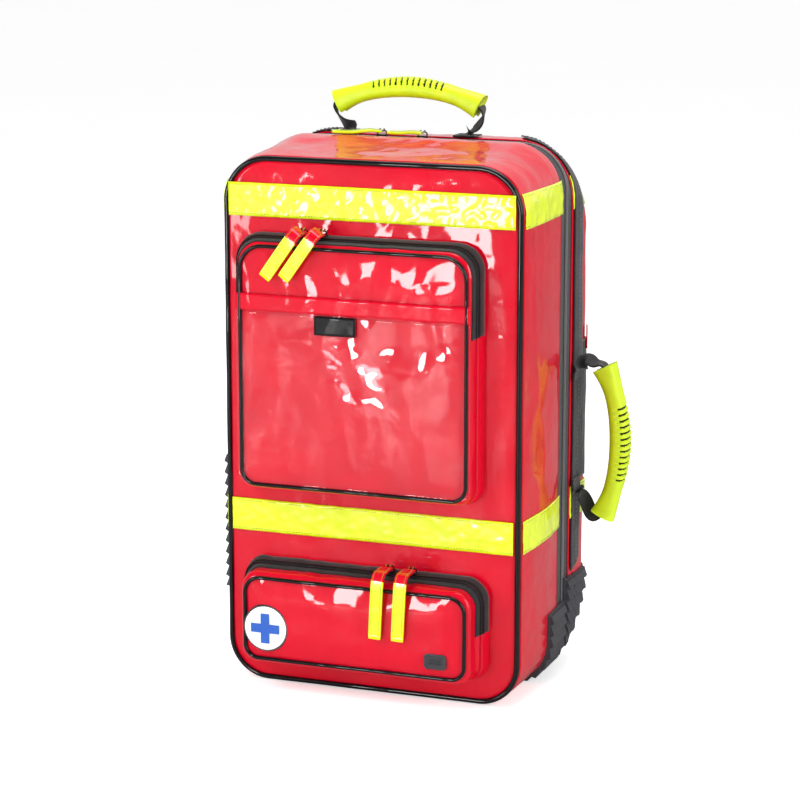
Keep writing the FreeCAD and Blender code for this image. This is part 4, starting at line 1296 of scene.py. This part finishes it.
def side_patches():
    """Glossy patch behind the side handle, and the little red tab above it."""
    patch = side_surface(1, smooth_steps(84, 111, 2.6), smooth_steps(212, 368, 3.0), 1.0)
    patch = sheet("handle_patch_sheet", patch, BLACK_VINYL, 0.9)
    place(patch, "rear_half", "black_vinyl", "handle_patch")
    tab = side_surface(1, smooth_steps(100, 108, 2), smooth_steps(356, 382, 3), 2.2)
    place(sheet("red_side_tab", tab, RED, 1.0), "rear_half", "red_tarpaulin")


handle("top_handle", place_top, (0, 0, 1), 0.0)
handle("side_handle", place_side, (1, 0, 0), -12.0)
top_feet()
side_patches()

# ---------------------------------------------------------------- sliders and pulls

SLIDER_LENGTH = 13.0
SLIDER_WIDTH = 11.0
BRIDGE_POINTS = 26
PULL_POINTS = 40
PULL_SIDES = 24
NECK_POINTS = 20


def plate(name, shape, z, thick, material, bevel):
    """Flat plate from an outline of (x, y) points at a height, with softened edges."""
    mesh = bmesh.new()
    face = mesh.faces.new([mesh.verts.new((x * MM, y * MM, z * MM)) for x, y in shape])
    lifted = bmesh.ops.extrude_face_region(mesh, geom=[face])
    for item in lifted["geom"]:
        if isinstance(item, bmesh.types.BMVert):
            item.co.z += thick * MM
    bmesh.ops.recalc_face_normals(mesh, faces=mesh.faces)
    data = bpy.data.meshes.new(name)
    mesh.to_mesh(data)
    data.materials.append(material)
    piece = linked(name, data)
    edge = piece.modifiers.new("edge", "BEVEL")
    edge.width = bevel * MM
    edge.segments = 3
    return piece


def slider_shape(way):
    """Slider seen from above: wide at its mouths, waisted, with a blunt nose along way."""
    half, wide = SLIDER_LENGTH / 2, SLIDER_WIDTH / 2
    side = [(-half, 0.62), (-half + 1.2, 0.95), (-1.0, 0.98), (1.6, 0.72), (half - 2, 0.66), (half, 0.4)]
    upper = [(way * x, wide * y) for x, y in side]
    return upper + [(x, -y) for x, y in reversed(upper)]


def slider(zip_name, way):
    """Zip slider: shaped plate and the arched bridge over it."""
    name = f"{zip_name}_slider"
    low, high = corners(name)
    x, y = (low[0] + high[0]) / 2, (low[1] + high[1]) / 2
    shape = [(x + px, y + py) for px, py in slider_shape(way)]
    place(plate(f"{name}_body", shape, low[2], 2.2, METAL, 0.7), name, "slider_metal", name)
    end = SLIDER_LENGTH / 2 - 1.4
    profile = ((-end, 1.6), (-end, 4.6), (-3.9, 6.0), (3.9, 6.0), (end, 4.6), (end, 1.6))
    path = spline([(x + run, y, low[2] + rise) for run, rise in profile], BRIDGE_POINTS)
    place(loft(f"{name}_bridge", path, BACKWARD, 1.2, 2.4, METAL, 3, 12), name, "slider_metal")


def turned(points, centre, swing, lean):
    """Points swung about the upright axis through centre, then leant about the one facing front."""
    turn = Matrix.Rotation(math.radians(lean), 3, "Y") @ Matrix.Rotation(math.radians(swing), 3, "Z")
    return (points - centre) @ np.array(turn).T + centre


def pull(zip_name, profile, swing, lean, two_colours):
    """Fabric tab folded over the slider's ring, with its stitches. Pocket tabs are red above yellow."""
    name = f"{zip_name}_pull"
    bar = pivot(f"{name}_hinge")
    centre = bar + (0, -9.6, 0)
    path = spline([(bar[0], bar[1] - forward, bar[2] + up) for forward, up in profile], PULL_POINTS)
    ups = np.cross((1.0, 0.0, 0.0), np.gradient(path, axis=0))
    tip = turned(path, centre, swing, lean)
    tip_up = turned(path + ups, centre, swing, lean) - tip
    yellow = np.arange(PULL_POINTS - 1) / (PULL_POINTS - 1) > (0.52 if two_colours else -1)
    which = [*np.repeat(yellow, PULL_SIDES), yellow[0], yellow[-1]]
    width = [13.0, *[14.0] * (PULL_POINTS - 2), 13.2]
    tab = loft(f"{name}_tab", tip, tip_up, width, 2.6, [RED, YELLOW], 9, PULL_SIDES, face_material=which)
    place(tab, name, "pull_tab", name)
    across = np.cross(np.gradient(tip, axis=0), tip_up)
    across /= np.linalg.norm(across, axis=1)[:, None]
    up = tip_up / np.linalg.norm(tip_up, axis=1)[:, None]
    rows = [((tip + across * side * 4.9 + up * face * 1.45)[2:-2], up[2:-2] * face)
            for side in (-1, 1) for face in (-1, 1)]
    place(stitching(f"{name}_stitches", rows, YELLOW_THREAD, 2.6, 1.8, 0.35), name, "pull_tab")
    neck = spline([bar + (0, 2.2, 0), bar + (0, 0.8, 2.1), bar + (0, -2.2, 1.6), bar + (0, -5.0, 0.6),
                   turned(path[1], centre, swing, 0)], NECK_POINTS)
    for side, word in SIDES:
        wire = loft(f"{name}_wire_{word}", neck + (side * 2.4, 0, 0), (0, 0.3, 1), 1.2, 1.2, SILVER, 2, 10)
        place(wire, name, "slider_metal")


# Each tab: its run forward and up from its hinge, how far it swings and leans, whether it has two colours.
UPPER_TAB = (((7, 0), (14, -0.3), (20, -4), (21.5, -14), (21.5, -30), (21, -62)), 0, 36, True)
LOWER_TAB = (((7, 0), (24, -0.3), (32, -3), (35, -12), (35.5, -34), (35, -72)), 0, 3, True)
TABS = {
    "main_left": (((7, 0), (20, 1.5), (40, 0), (62, 1.0)), -62, 0, False),
    "main_right": (((7, 0), (18, 1.0), (32, 0), (45, 0.5)), -78, 0, False),
    "upper_left": UPPER_TAB,
    "upper_right": UPPER_TAB,
    "lower_left": LOWER_TAB,
    "lower_right": LOWER_TAB,
}
for zip_name, tab in TABS.items():
    slider(zip_name, -1 if zip_name.endswith("left") else 1)
    pull(zip_name, *tab)

# ---------------------------------------------------------------- back and harness

BINDING_R = 1.6
PAD_CELL = 4.5
PUFF_FRAMES = 20
BACK_PAD_INNER = 14.0


def settle(piece):
    """Replaces a piece's mesh by the result of its modifiers."""
    result = shown_mesh(piece)
    result.polygons.foreach_set("use_smooth", [True] * len(result.polygons))
    piece.modifiers.clear()
    piece.data = result


def pad_shape(name, x, z, y, radius, crown, material):
    """Closed pad between the depths y[0] and y[1], each face crowned, remeshed into even squares."""
    seam = (y[0] + y[1]) / 2
    insets = smooth_steps(0, min(x[1] - x[0], z[1] - z[0]) / 2, 4.0)
    rise = (1 - np.exp(-insets / crown)) * (y[1] - y[0]) / 2
    rows = [*zip(insets[:0:-1], seam - rise[:0:-1]), *zip(insets, seam + rise)]
    grid = np.stack([inset_ring(x, z, depth, radius, inset, (30, 16, 6)) for inset, depth in rows])
    piece = new_piece(name, grid.reshape(-1, 3), grid_faces(*grid.shape[:2], True), material)
    remesh = piece.modifiers.new("remesh", "REMESH")
    remesh.mode = "VOXEL"
    remesh.voxel_size = PAD_CELL * MM
    settle(piece)
    return piece


def smoothed(piece):
    """Divides a pad's squares once into smooth ones."""
    smooth = piece.modifiers.new("smooth", "SUBSURF")
    smooth.levels = 1
    settle(piece)


def positions(piece):
    flat = np.empty(len(piece.data.vertices) * 3)
    piece.data.vertices.foreach_get("co", flat)
    return flat.reshape(-1, 3) / MM


def move_to(piece, points):
    piece.data.vertices.foreach_set("co", (points * MM).ravel())
    piece.data.update()


def inflate(piece, held, reach):
    """Puffs a pad as pressurised cloth sewn down where held says; no point moves beyond reach."""
    scene = bpy.context.scene
    rest = positions(piece)
    group = piece.vertex_groups.new(name="sewn")
    group.add(np.flatnonzero(held(rest)).tolist(), 1.0, "REPLACE")
    puff = piece.modifiers.new("puff", "CLOTH")
    settings = puff.settings
    settings.use_pressure = True
    settings.uniform_pressure_force = 4
    settings.effector_weights.gravity = 0
    settings.vertex_group_mass = "sewn"
    puff.point_cache.frame_end = PUFF_FRAMES
    for step in range(1, PUFF_FRAMES + 1):
        scene.frame_set(step)
    settle(piece)
    moved = positions(piece) - rest
    length = np.linalg.norm(moved, axis=1)[:, None]
    move_to(piece, rest + moved * np.minimum(1, reach / np.maximum(length, 1e-6)))
    piece.vertex_groups.clear()
    scene.frame_set(1)


def sew(piece, lines, y_middle, depth):
    """Pulls both faces of a pad towards its middle along sewn lines of (x, z) points."""
    width = 3.2
    points = positions(piece)
    dent = np.zeros(len(points))
    for a, b in np.asarray(lines, float):
        run = b - a
        share = np.clip(((points[:, (0, 2)] - a) @ run) / (run @ run), 0, 1)
        distance = np.linalg.norm(points[:, (0, 2)] - a - share[:, None] * run, axis=1)
        dent = np.maximum(dent, np.exp(-((distance / width) ** 2)))
    points[:, 1] -= dent * np.clip(points[:, 1] - y_middle, -depth, depth)
    move_to(piece, points)


def behind(piece, line):
    """Row of stitches on the wearer's face of a pad along a line between two (x, z) points."""
    mesh = piece.data
    tree = BVHTree.FromPolygons([v.co for v in mesh.vertices], [p.vertices for p in mesh.polygons])
    found = []
    a, b = np.array(line)
    for share in smooth_steps(0, 1, 3.0 / math.dist(a, b)):
        x, z = (a + (b - a) * share) * MM
        hit = tree.ray_cast(Vector((x, 1.0, z)), Vector((0, -1, 0)))[0]
        if hit:
            found.append(np.array(hit) / MM)
    return np.array(found) + (0, 0.2, 0), BACKWARD


def padded(name, body, x, z, y, radius, lines, nodes=(), reach=2.5, crown=5.0):
    """Soft pad of spacer mesh with a bound edge and sewn channels, held to what lies in front of it."""
    middle, thick = (y[0] + y[1]) / 2, y[1] - y[0]
    piece = pad_shape(name, x, z, y, radius, crown, MESH)
    inflate(piece, lambda points: np.abs(points[:, 1] - middle) < 0.3 * thick, reach)
    smoothed(piece)
    sew(piece, lines, middle, thick * 0.33)
    place(piece, body, "spacer_mesh", *nodes)
    rows = [behind(piece, line) for line in lines]
    place(stitching(f"{name}_stitches", rows, GREY_THREAD), body, "spacer_mesh")
    path, up = ring(x, z, middle, [radius] * 4, (40, 24, 8))
    path -= up * 0.6
    binding = loft(f"{name}_binding", path, up, 4.2, 2 * BINDING_R, WEB, 4, 12, closed=True)
    place(binding, body, "black_webbing")


def flat_panel(name, body, x, z, y, radius, faces_back, material, slot, thick, rough, node):
    """Upright panel with rounded corners, crumpled a little, facing the wearer or the front."""
    rows = []
    for inset in smooth_steps(0, min(x[1] - x[0], z[1] - z[0]) / 2, 6.0):
        points = inset_ring(x, z, y, radius, inset, (60, 40, 8))
        height = crumple(points, rough) * min(1.0, inset / 14)
        points[:, 1] += height if faces_back else -height
        rows.append(points)
    place(sheet(name, np.stack(rows), material, thick, closed=True, flip=faces_back), body, slot, node)


def back_face():
    x, _, z = zip(body_ring(REAR_Y)[0].min(axis=0) + 0.3, body_ring(REAR_Y)[0].max(axis=0) - 0.3)
    flat_panel("back_face", "rear_half", x, z, corners("back_panel")[1][1], 40, True, [RED, LINING],
               "red_tarpaulin", WALL_T, 0.5, "back_panel")
    low, high = corners("rear_piping")
    x, z = (low[0] + CORD_R, high[0] - CORD_R), (low[2] + CORD_R, high[2] - CORD_R)
    path, up = ring(x, z, (low[1] + high[1]) / 2 - 0.6, (R_BASE, 60, 40, R_BASE), BODY_COUNTS)
    cord = loft("rear_cord", path, up, 2 * CORD_R, 2 * CORD_R, CORD, closed=True)
    place(cord, "rear_half", "black_cord", "rear_piping")


def back_pads():
    """Two columns of two pads, with sewn channels across them."""
    low, high = corners("back_pads")
    for side, word in SIDES:
        x = sorted((side * BACK_PAD_INNER, side * high[0]))
        for level, z in (("shoulder", (322.0, high[2])), ("lumbar", (low[2], 308.0))):
            lines = [[(x[0] + 10, h), (x[1] - 10, h)] for h in smooth_steps(*z, 46)[1:-1]]
            nodes = ["back_pads"] if side < 0 and level == "shoulder" else []
            padded(f"{level}_pad_{word}", "rear_half", x, z, (low[1], high[1]), 22, lines, nodes, crown=9.0)


def webbing(name, body, points, ups, width, *nodes, thick=2.0, count=40):
    """Strip of webbing through some points. ups gives its thickness direction at each, or for all."""
    ups = np.broadcast_to(np.asarray(ups, float), np.shape(points))
    strip = loft(name, spline(points, count), spline(ups, count), width, thick, WEB, 8, 20)
    return place(strip, body, "black_webbing", *nodes)


def tacks(name, body, rows):
    """Bar tacks across a strip of webbing, each between two points."""
    rows = [(np.array(row, float), BACKWARD) for row in rows]
    place(stitching(name, rows, WHITE_THREAD), body, "black_webbing")


def yoke():
    """Block that both shoulder straps spring from, with the grab loop above it."""
    low, high = corners("strap_yoke")
    x, y, z = (low[0], high[0]), (low[1], high[1]), (low[2] - 1.5, high[2])
    piece = pad_shape("yoke_block", x, z, y, 5, 2.5, BLACK_VINYL)
    smoothed(piece)
    place(piece, "rear_half", "black_vinyl", "strap_yoke")
    rows = [behind(piece, [(low[0] + 6, row), (high[0] - 6, row)]) for row in (low[2] + 3, high[2] - 3)]
    place(stitching("yoke_stitches", rows, GREY_THREAD), "rear_half", "black_vinyl")
    middle = sum(y) / 2
    loop = [(-40, middle + 9, 541), (-30, middle + 13, 552), (0, middle + 14, 556), (30, middle + 13, 552),
            (40, middle + 9, 541)]
    ups = [(-1, 0, 0.6), (-0.4, 0, 1), (0, 0, 1), (0.4, 0, 1), (1, 0, 0.6)]
    webbing("grab_loop", "rear_half", loop, ups, 18)


def ladder_lock(word):
    """Buckle with three slots under a shoulder strap, the loop that holds it and the loose tail."""
    body, node = f"shoulder_strap_{word}", f"ladder_lock_{word}"
    low, high = corners(node)
    x, z = (low[0] + 0.6, high[0] - 0.6), (low[2] + 0.6, high[2] - 0.6)
    cx, middle = (low[0] + high[0]) / 2, (low[1] + high[1]) / 2
    holes = [rounded((x[0] + 4, x[1] - 4), (low[2] + base, low[2] + base + 6), 1.5) for base in (4, 14, 25)]
    lock = frame_of(f"{node}_frame", rounded(x, z, 3), holes, middle, high[1] - low[1] - 1.2, PLASTIC)
    place(lock, body, "buckle_plastic", node)
    loop = ((1, 262), (4.4, 250), (4.2, 243), (0, 239), (-4.2, 243), (-4.0, 254))
    ups = [(0, 1, 0), (0, 1, 0), (0, 1, -0.4), (0, 0, -1), (0, -1, -0.4), (0, -1, 0)]
    webbing(f"lock_loop_{word}", body, [(cx, middle + y, z) for y, z in loop], ups, 24)
    tail = ((0, -2.5, 214.5), (0, 2.6, 219), (0, 4.6, 226), (0, 5.6, 216), (1, 5.2, 186), (2, 3, 152))
    ups = [(0, 0.5, 1), (0, 0.6, 0.8), (0, 1, 0.3), (0, 1, 0), (0, 1, 0), (0, 1, 0)]
    webbing(f"strap_tail_{word}", body, [(cx + x, middle + y, z) for x, y, z in tail], ups, 24)


def shoulder_strap(word):
    body = f"shoulder_strap_{word}"
    low, high = corners(body)
    x, y, z = (low[0], high[0]), (low[1], high[1]), (low[2], high[2] - 1)
    lines = [[(column, z[0] + 20), (column, z[1] - 8)] for column in (x[0] + 12, x[1] - 12)]
    padded(body + "_pad", body, x, z, y, 9, lines, [body], reach=1.5, crown=3.5)
    cx, rear = sum(x) / 2, y[1] + 0.8
    run = ((-2, z[1] - 4), (0.6, z[1] - 20), (0.6, 430), (0.6, 330), (0.4, 270), (-2.5, 256))
    webbing(f"strap_webbing_{word}", body, [(cx, rear + lift, h) for lift, h in run], BACKWARD, 25, count=90)
    heights = (z[1] - 30, 440, 350, 275)
    tacks(f"strap_tacks_{word}", body, [[(cx + end, rear + 1.9, h) for end in (-11, 11)] for h in heights])


def lower_webbing(side, word):
    """Webbing from the foot of the back up through the ladder lock."""
    low, high = corners("lower_strap_webbings")
    lock_x, _, _ = spans(f"ladder_lock_{word}")
    cx, y, foot = sum(lock_x) / 2, high[1] - 1.0, side * 120
    path = [(foot, y - 5, low[2] + 8), (side * 118, y - 1, low[2] + 22), (side * 92, y, 160),
            (cx + side * 2, y, 208), (cx, y + 2.5, 218)]
    strip = loft(f"lower_webbing_{word}", spline(path, 60), BACKWARD, 25, 2.0, WEB, 8, 20)
    bent(strip, "rear_half", f"shoulder_strap_{word}", (side * 97, y, 152), (cx, y, 212), "black_webbing",
         *(["lower_strap_webbings"] if side < 0 else []))
    shape = [(foot - 20, low[2]), (foot + 20, low[2]), (foot + 13, low[2] + 28), (foot - 13, low[2] + 28)]
    place(frame_of(f"wedge_{word}", shape, [], REAR_Y + 8, 6, BLACK_VINYL), "rear_half", "black_vinyl")


BUCKLE_THICK = 8.0
BUCKLE_GAP = 0.6
SOCKET_SECTIONS = ((0.82, 0.7), (0.98, 1), (0.9, 1), (0.96, 1), (1.0, 0.96), (0.96, 0.8))
PLUG_SECTIONS = ((0.86, 0.7), (1, 1), (1, 1), (0.9, 0.8))


def buckle(side, y, z, body, length, high):
    """Half of a side-release buckle: a socket on the left, a plug with three prongs on the right."""
    tip = side * BUCKLE_GAP
    base = side * (BUCKLE_GAP + length)

    def moulding(name, xs, sections):
        widths, heights = np.array(sections).T * ((high,), (BUCKLE_THICK,))
        bar = loft(f"{body}_{name}", [(x, y, z) for x in xs], BACKWARD, widths, heights, PLASTIC, 5, 32)
        place(bar, body, "buckle_plastic")

    if side < 0:
        moulding("socket", (base + 1, base + 4, base + 9, tip - 5, tip - 1, tip), SOCKET_SECTIONS)
        return
    moulding("plug", (base - 1, base - 4, base - 8, base - 10), PLUG_SECTIONS)
    for index, offset in enumerate((-7, 0, 7)):
        run = ((base - 9, 1), (base - 16, 1.08), (tip + 3, 1.05), (tip, 0.8))
        prong = loft(f"{body}_prong_{index}", [(x, y, z + offset * spread) for x, spread in run], BACKWARD,
                     (3.6, 3.6, 4.2, 2.0), (3.4, 3.2, 3.0, 1.8), PLASTIC, 4, 16)
        place(prong, body, "buckle_plastic")


def sternum(side, word):
    """Half of the strap across the chest, and the loop that holds it to its shoulder strap."""
    body = f"sternum_strap_{word}"
    x, y, z = pivot(body + "_hinge")
    path = [(x + side * 4, y, z), (side * 25.5, y + 0.6, z), (side * 22, y, z), (side * 18, y, z)]
    webbing(body + "_webbing", body, path, BACKWARD, 20, body)
    buckle(side, y, z, body, 22, 22)
    path = [(side * run, y + lift, z) for run, lift in ((38, 7.6), (31.6, 7.4), (30.2, 4.5), (30.2, 0.5))]
    ups = [(0, 1, 0), (0, 1, 0), (-side, 0.3, 0), (-side, 0, 0)]
    webbing(f"sternum_keeper_{word}", f"shoulder_strap_{word}", path, ups, 18, thick=1.4)


def belt(side, word):
    """Half of the waist belt: its pad, its webbing and its half of the buckle."""
    body = f"waist_belt_{word}"
    _, y, z = spans(body)
    x = sorted((side * 144.5, side * 58))
    lines = [[(x[0] + 12, h), (x[1] - 12, h)] for h in (z[0] + 20, z[1] - 20)]
    padded(body + "_pad", body, x, z, y, 10, lines, [body], reach=1.0, crown=3.0)
    middle, rear = sum(z) / 2, y[1]
    run = ((128, 1.2), (100, 1.4), (64, 1.2), (52, -3), (38, -4), (24, -4))
    path = [(side * x, rear + lift, middle) for x, lift in run]
    webbing(body + "_webbing", body, path, BACKWARD, 25, count=60)
    buckle(side, sum(y) / 2, middle, body, 26, 30)
    tacks(body + "_tacks", body,
          [[(side * column, rear + 2.5, middle + end) for end in (-11, 11)] for column in (124, 72)])


back_face()
back_pads()
yoke()
for side, word in SIDES:
    shoulder_strap(word)
    ladder_lock(word)
    lower_webbing(side, word)
    sternum(side, word)
    belt(side, word)

# ---------------------------------------------------------------- inside


def linings():
    x, y, z = spans("front_foam")
    flat_panel("front_foam_face", "front_half", x, z, y[1], 26, True, FOAM, "foam", 3.5, 0.5, "front_foam")
    x, y, z = spans("frame_sheet")
    flat_panel("frame_sheet_face", "rear_half", x, z, y[0], 25, False, STIFF, "stiffener", 2.0, 0.2,
               "frame_sheet")


def mesh_pocket():
    """Mesh pocket on the lid's inner face: a full belly under a taut elastic edge."""
    x, y, z = spans("lid_mesh_pocket")
    gx, gz = np.meshgrid(smooth_steps(*x, 5), smooth_steps(*z, 5), indexing="ij")
    edge = np.minimum(np.minimum(gx - x[0], x[1] - gx), gz - z[0])
    belly = (y[1] - y[0] - 1) * (1 - np.exp(-edge / 16)) * np.interp(gz, z, (1, 0.55))
    grid = np.stack([gx, y[0] + 0.5 + belly, gz], -1)
    grid[..., 1] += np.clip(edge / 20, 0, 1) * folds(grid, 26, 61) * 0.8
    face = sheet("mesh_pocket_face", grid, MESH, 0.8, flip=True)
    place(face, "front_half", "spacer_mesh", "lid_mesh_pocket")
    hem = grid[:, -1] + (0, 0.2, -3)
    place(loft("mesh_pocket_hem", hem, BACKWARD, 9, 2.2, WEB, 6, 14), "front_half", "black_webbing")


def retention_straps():
    """Two straps across the main compartment, hanging forward of their sewn ends."""
    x, y, z = spans("retention_straps")
    for index, height in enumerate((z[0] + 19, z[1] - 19)):
        half = [(4, y[1] - 0.5), (14, y[1] - 1), (40, y[0] + 2.2)]
        bow = [(x[0] + inset, depth, height) for inset, depth in half]
        bow += [(0, y[0] + 1.2, height)]
        bow += [(x[1] - inset, depth, height) for inset, depth in reversed(half)]
        nodes = ["retention_straps"] if index == 0 else []
        webbing(f"retention_strap_{index}", "rear_half", bow, FORWARD, 38, *nodes, thick=1.8, count=80)


linings()
mesh_pocket()
retention_straps()

# ---------------------------------------------------------------- studio

FLOOR_REACH = 40000
FLOOR_DROP = 0.5


def aim(thing, target):
    direction = Vector(target) - thing.location
    thing.rotation_mode = "QUATERNION"
    thing.rotation_quaternion = direction.to_track_quat("-Z", "Y")


def softbox(name, location, target, size, power, mirrored=True):
    light = bpy.data.lights.new(name, "AREA")
    light.shape = "RECTANGLE"
    light.size, light.size_y = size
    light.energy = power
    lamp = linked(name, light)
    lamp.location = location
    lamp.visible_glossy = mirrored
    aim(lamp, target)


def follow_lowest(floor):
    """Keeps the floor under the lid's top edge when the opened lid hangs below the base."""
    lid = bpy.data.objects["body:front_half"]
    driver = floor.driver_add("location", 2).driver
    driver.type = "MIN"
    for spot in ((0, 35, -FLOOR_DROP), (0, FRONT_Y - 50, TOP_FRONT)):
        mark = linked("floor_mark", None)
        mark.parent = lid
        mark.matrix_parent_inverse = lid.matrix_world.inverted()
        mark.location = Vector(spot) * MM
        reading = driver.variables.new()
        reading.type = "TRANSFORMS"
        reading.targets[0].id = mark
        reading.targets[0].transform_type = "LOC_Z"
        reading.targets[0].transform_space = "WORLD_SPACE"


def sweep():
    """Pale floor that runs out of sight. It glows for the camera only, so it blends into the room."""
    shader = Shader("pale_floor")
    shader.bump(shader.noise(300), 0.2)
    rays = shader.node("ShaderNodeLightPath")
    grain = shader.maths("MULTIPLY", shader.noise(900), 0.05)
    mirrored = shader.maths("MULTIPLY", rays.outputs["Is Glossy Ray"], 0.6)
    stops = [(0.0, rgb(250, 250, 250)), (0.7, rgb(120, 120, 120))]
    pale = shader.blend(shader.maths("ADD", grain, mirrored), stops)
    glow = shader.between(rays.outputs["Is Camera Ray"], 0.05, 0.52)
    white = (1, 1, 1, 1)
    material = shader.finish(Base_Color=pale, Roughness=0.6, Emission_Strength=glow, Emission_Color=white)
    edges = ((-1, -1, 0), (1, -1, 0), (1, 1, 0), (-1, 1, 0))
    floor = new_piece("floor", np.array(edges) * FLOOR_REACH, [[0, 1, 2, 3]], material)
    floor.location.z = -FLOOR_DROP * MM
    return floor


def room():
    """White room: seen as white, and reflected brightly only from behind the bag."""
    world = bpy.data.worlds.new("studio")
    bpy.context.scene.world = world
    world.use_nodes = True
    tree = world.node_tree
    background = tree.nodes["Background"]
    background.inputs["Color"].default_value = (1, 1, 1, 1)
    path = tree.nodes.new("ShaderNodeLightPath")
    direction = tree.nodes.new("ShaderNodeTexCoord")
    split = tree.nodes.new("ShaderNodeSeparateXYZ")
    tree.links.new(direction.outputs["Generated"], split.inputs[0])

    def ranged(value, low, high, start=0.0, end=1.0):
        node = tree.nodes.new("ShaderNodeMapRange")
        for socket, number in (("From Min", start), ("From Max", end), ("To Min", low), ("To Max", high)):
            if isinstance(number, float):
                node.inputs[socket].default_value = number
            else:
                tree.links.new(number, node.inputs[socket])
        tree.links.new(value, node.inputs["Value"])
        return node.outputs["Result"]

    mirrored = ranged(split.outputs["Y"], 0.06, 0.8, -0.2, 0.7)
    unseen = ranged(path.outputs["Is Glossy Ray"], 0.46, mirrored)
    level = ranged(path.outputs["Is Camera Ray"], unseen, 1.0)
    tree.links.new(level, background.inputs["Strength"])


def studio():
    follow_lowest(sweep())
    room()
    middle = (0, 0, 0.3)
    upper = (-0.1, 0, 0.45)
    softbox("key", (-1.4, -1.6, 2.1), middle, (1.4, 1.0), 32, mirrored=False)
    softbox("side", (2.3, -0.9, 1.1), middle, (0.6, 1.6), 30)
    softbox("top", (0.2, 0.2, 2.3), middle, (1.6, 1.2), 24)
    softbox("window", (-0.62, -2.3, 0.27), upper, (0.36, 0.4), 11)
    softbox("window_left", (-1.5, -2.1, 0.5), upper, (0.25, 0.8), 8)


AZIMUTH = math.radians(21.0)
ELEVATION = math.radians(12.0)
DISTANCE = 3.018
LENS = 122.5
TARGET = Vector((-0.0055, -0.015, 0.306))


def camera():
    data = bpy.data.cameras.new("camera")
    data.lens = LENS
    data.sensor_width = 36
    view = linked("camera", data)
    level = math.cos(ELEVATION)
    back = Vector((math.sin(AZIMUTH) * level, -math.cos(AZIMUTH) * level, math.sin(ELEVATION)))
    view.location = TARGET + back * DISTANCE
    aim(view, TARGET)
    bpy.context.scene.camera = view


studio()
camera()
bpy.context.scene.view_settings.view_transform = "Standard"
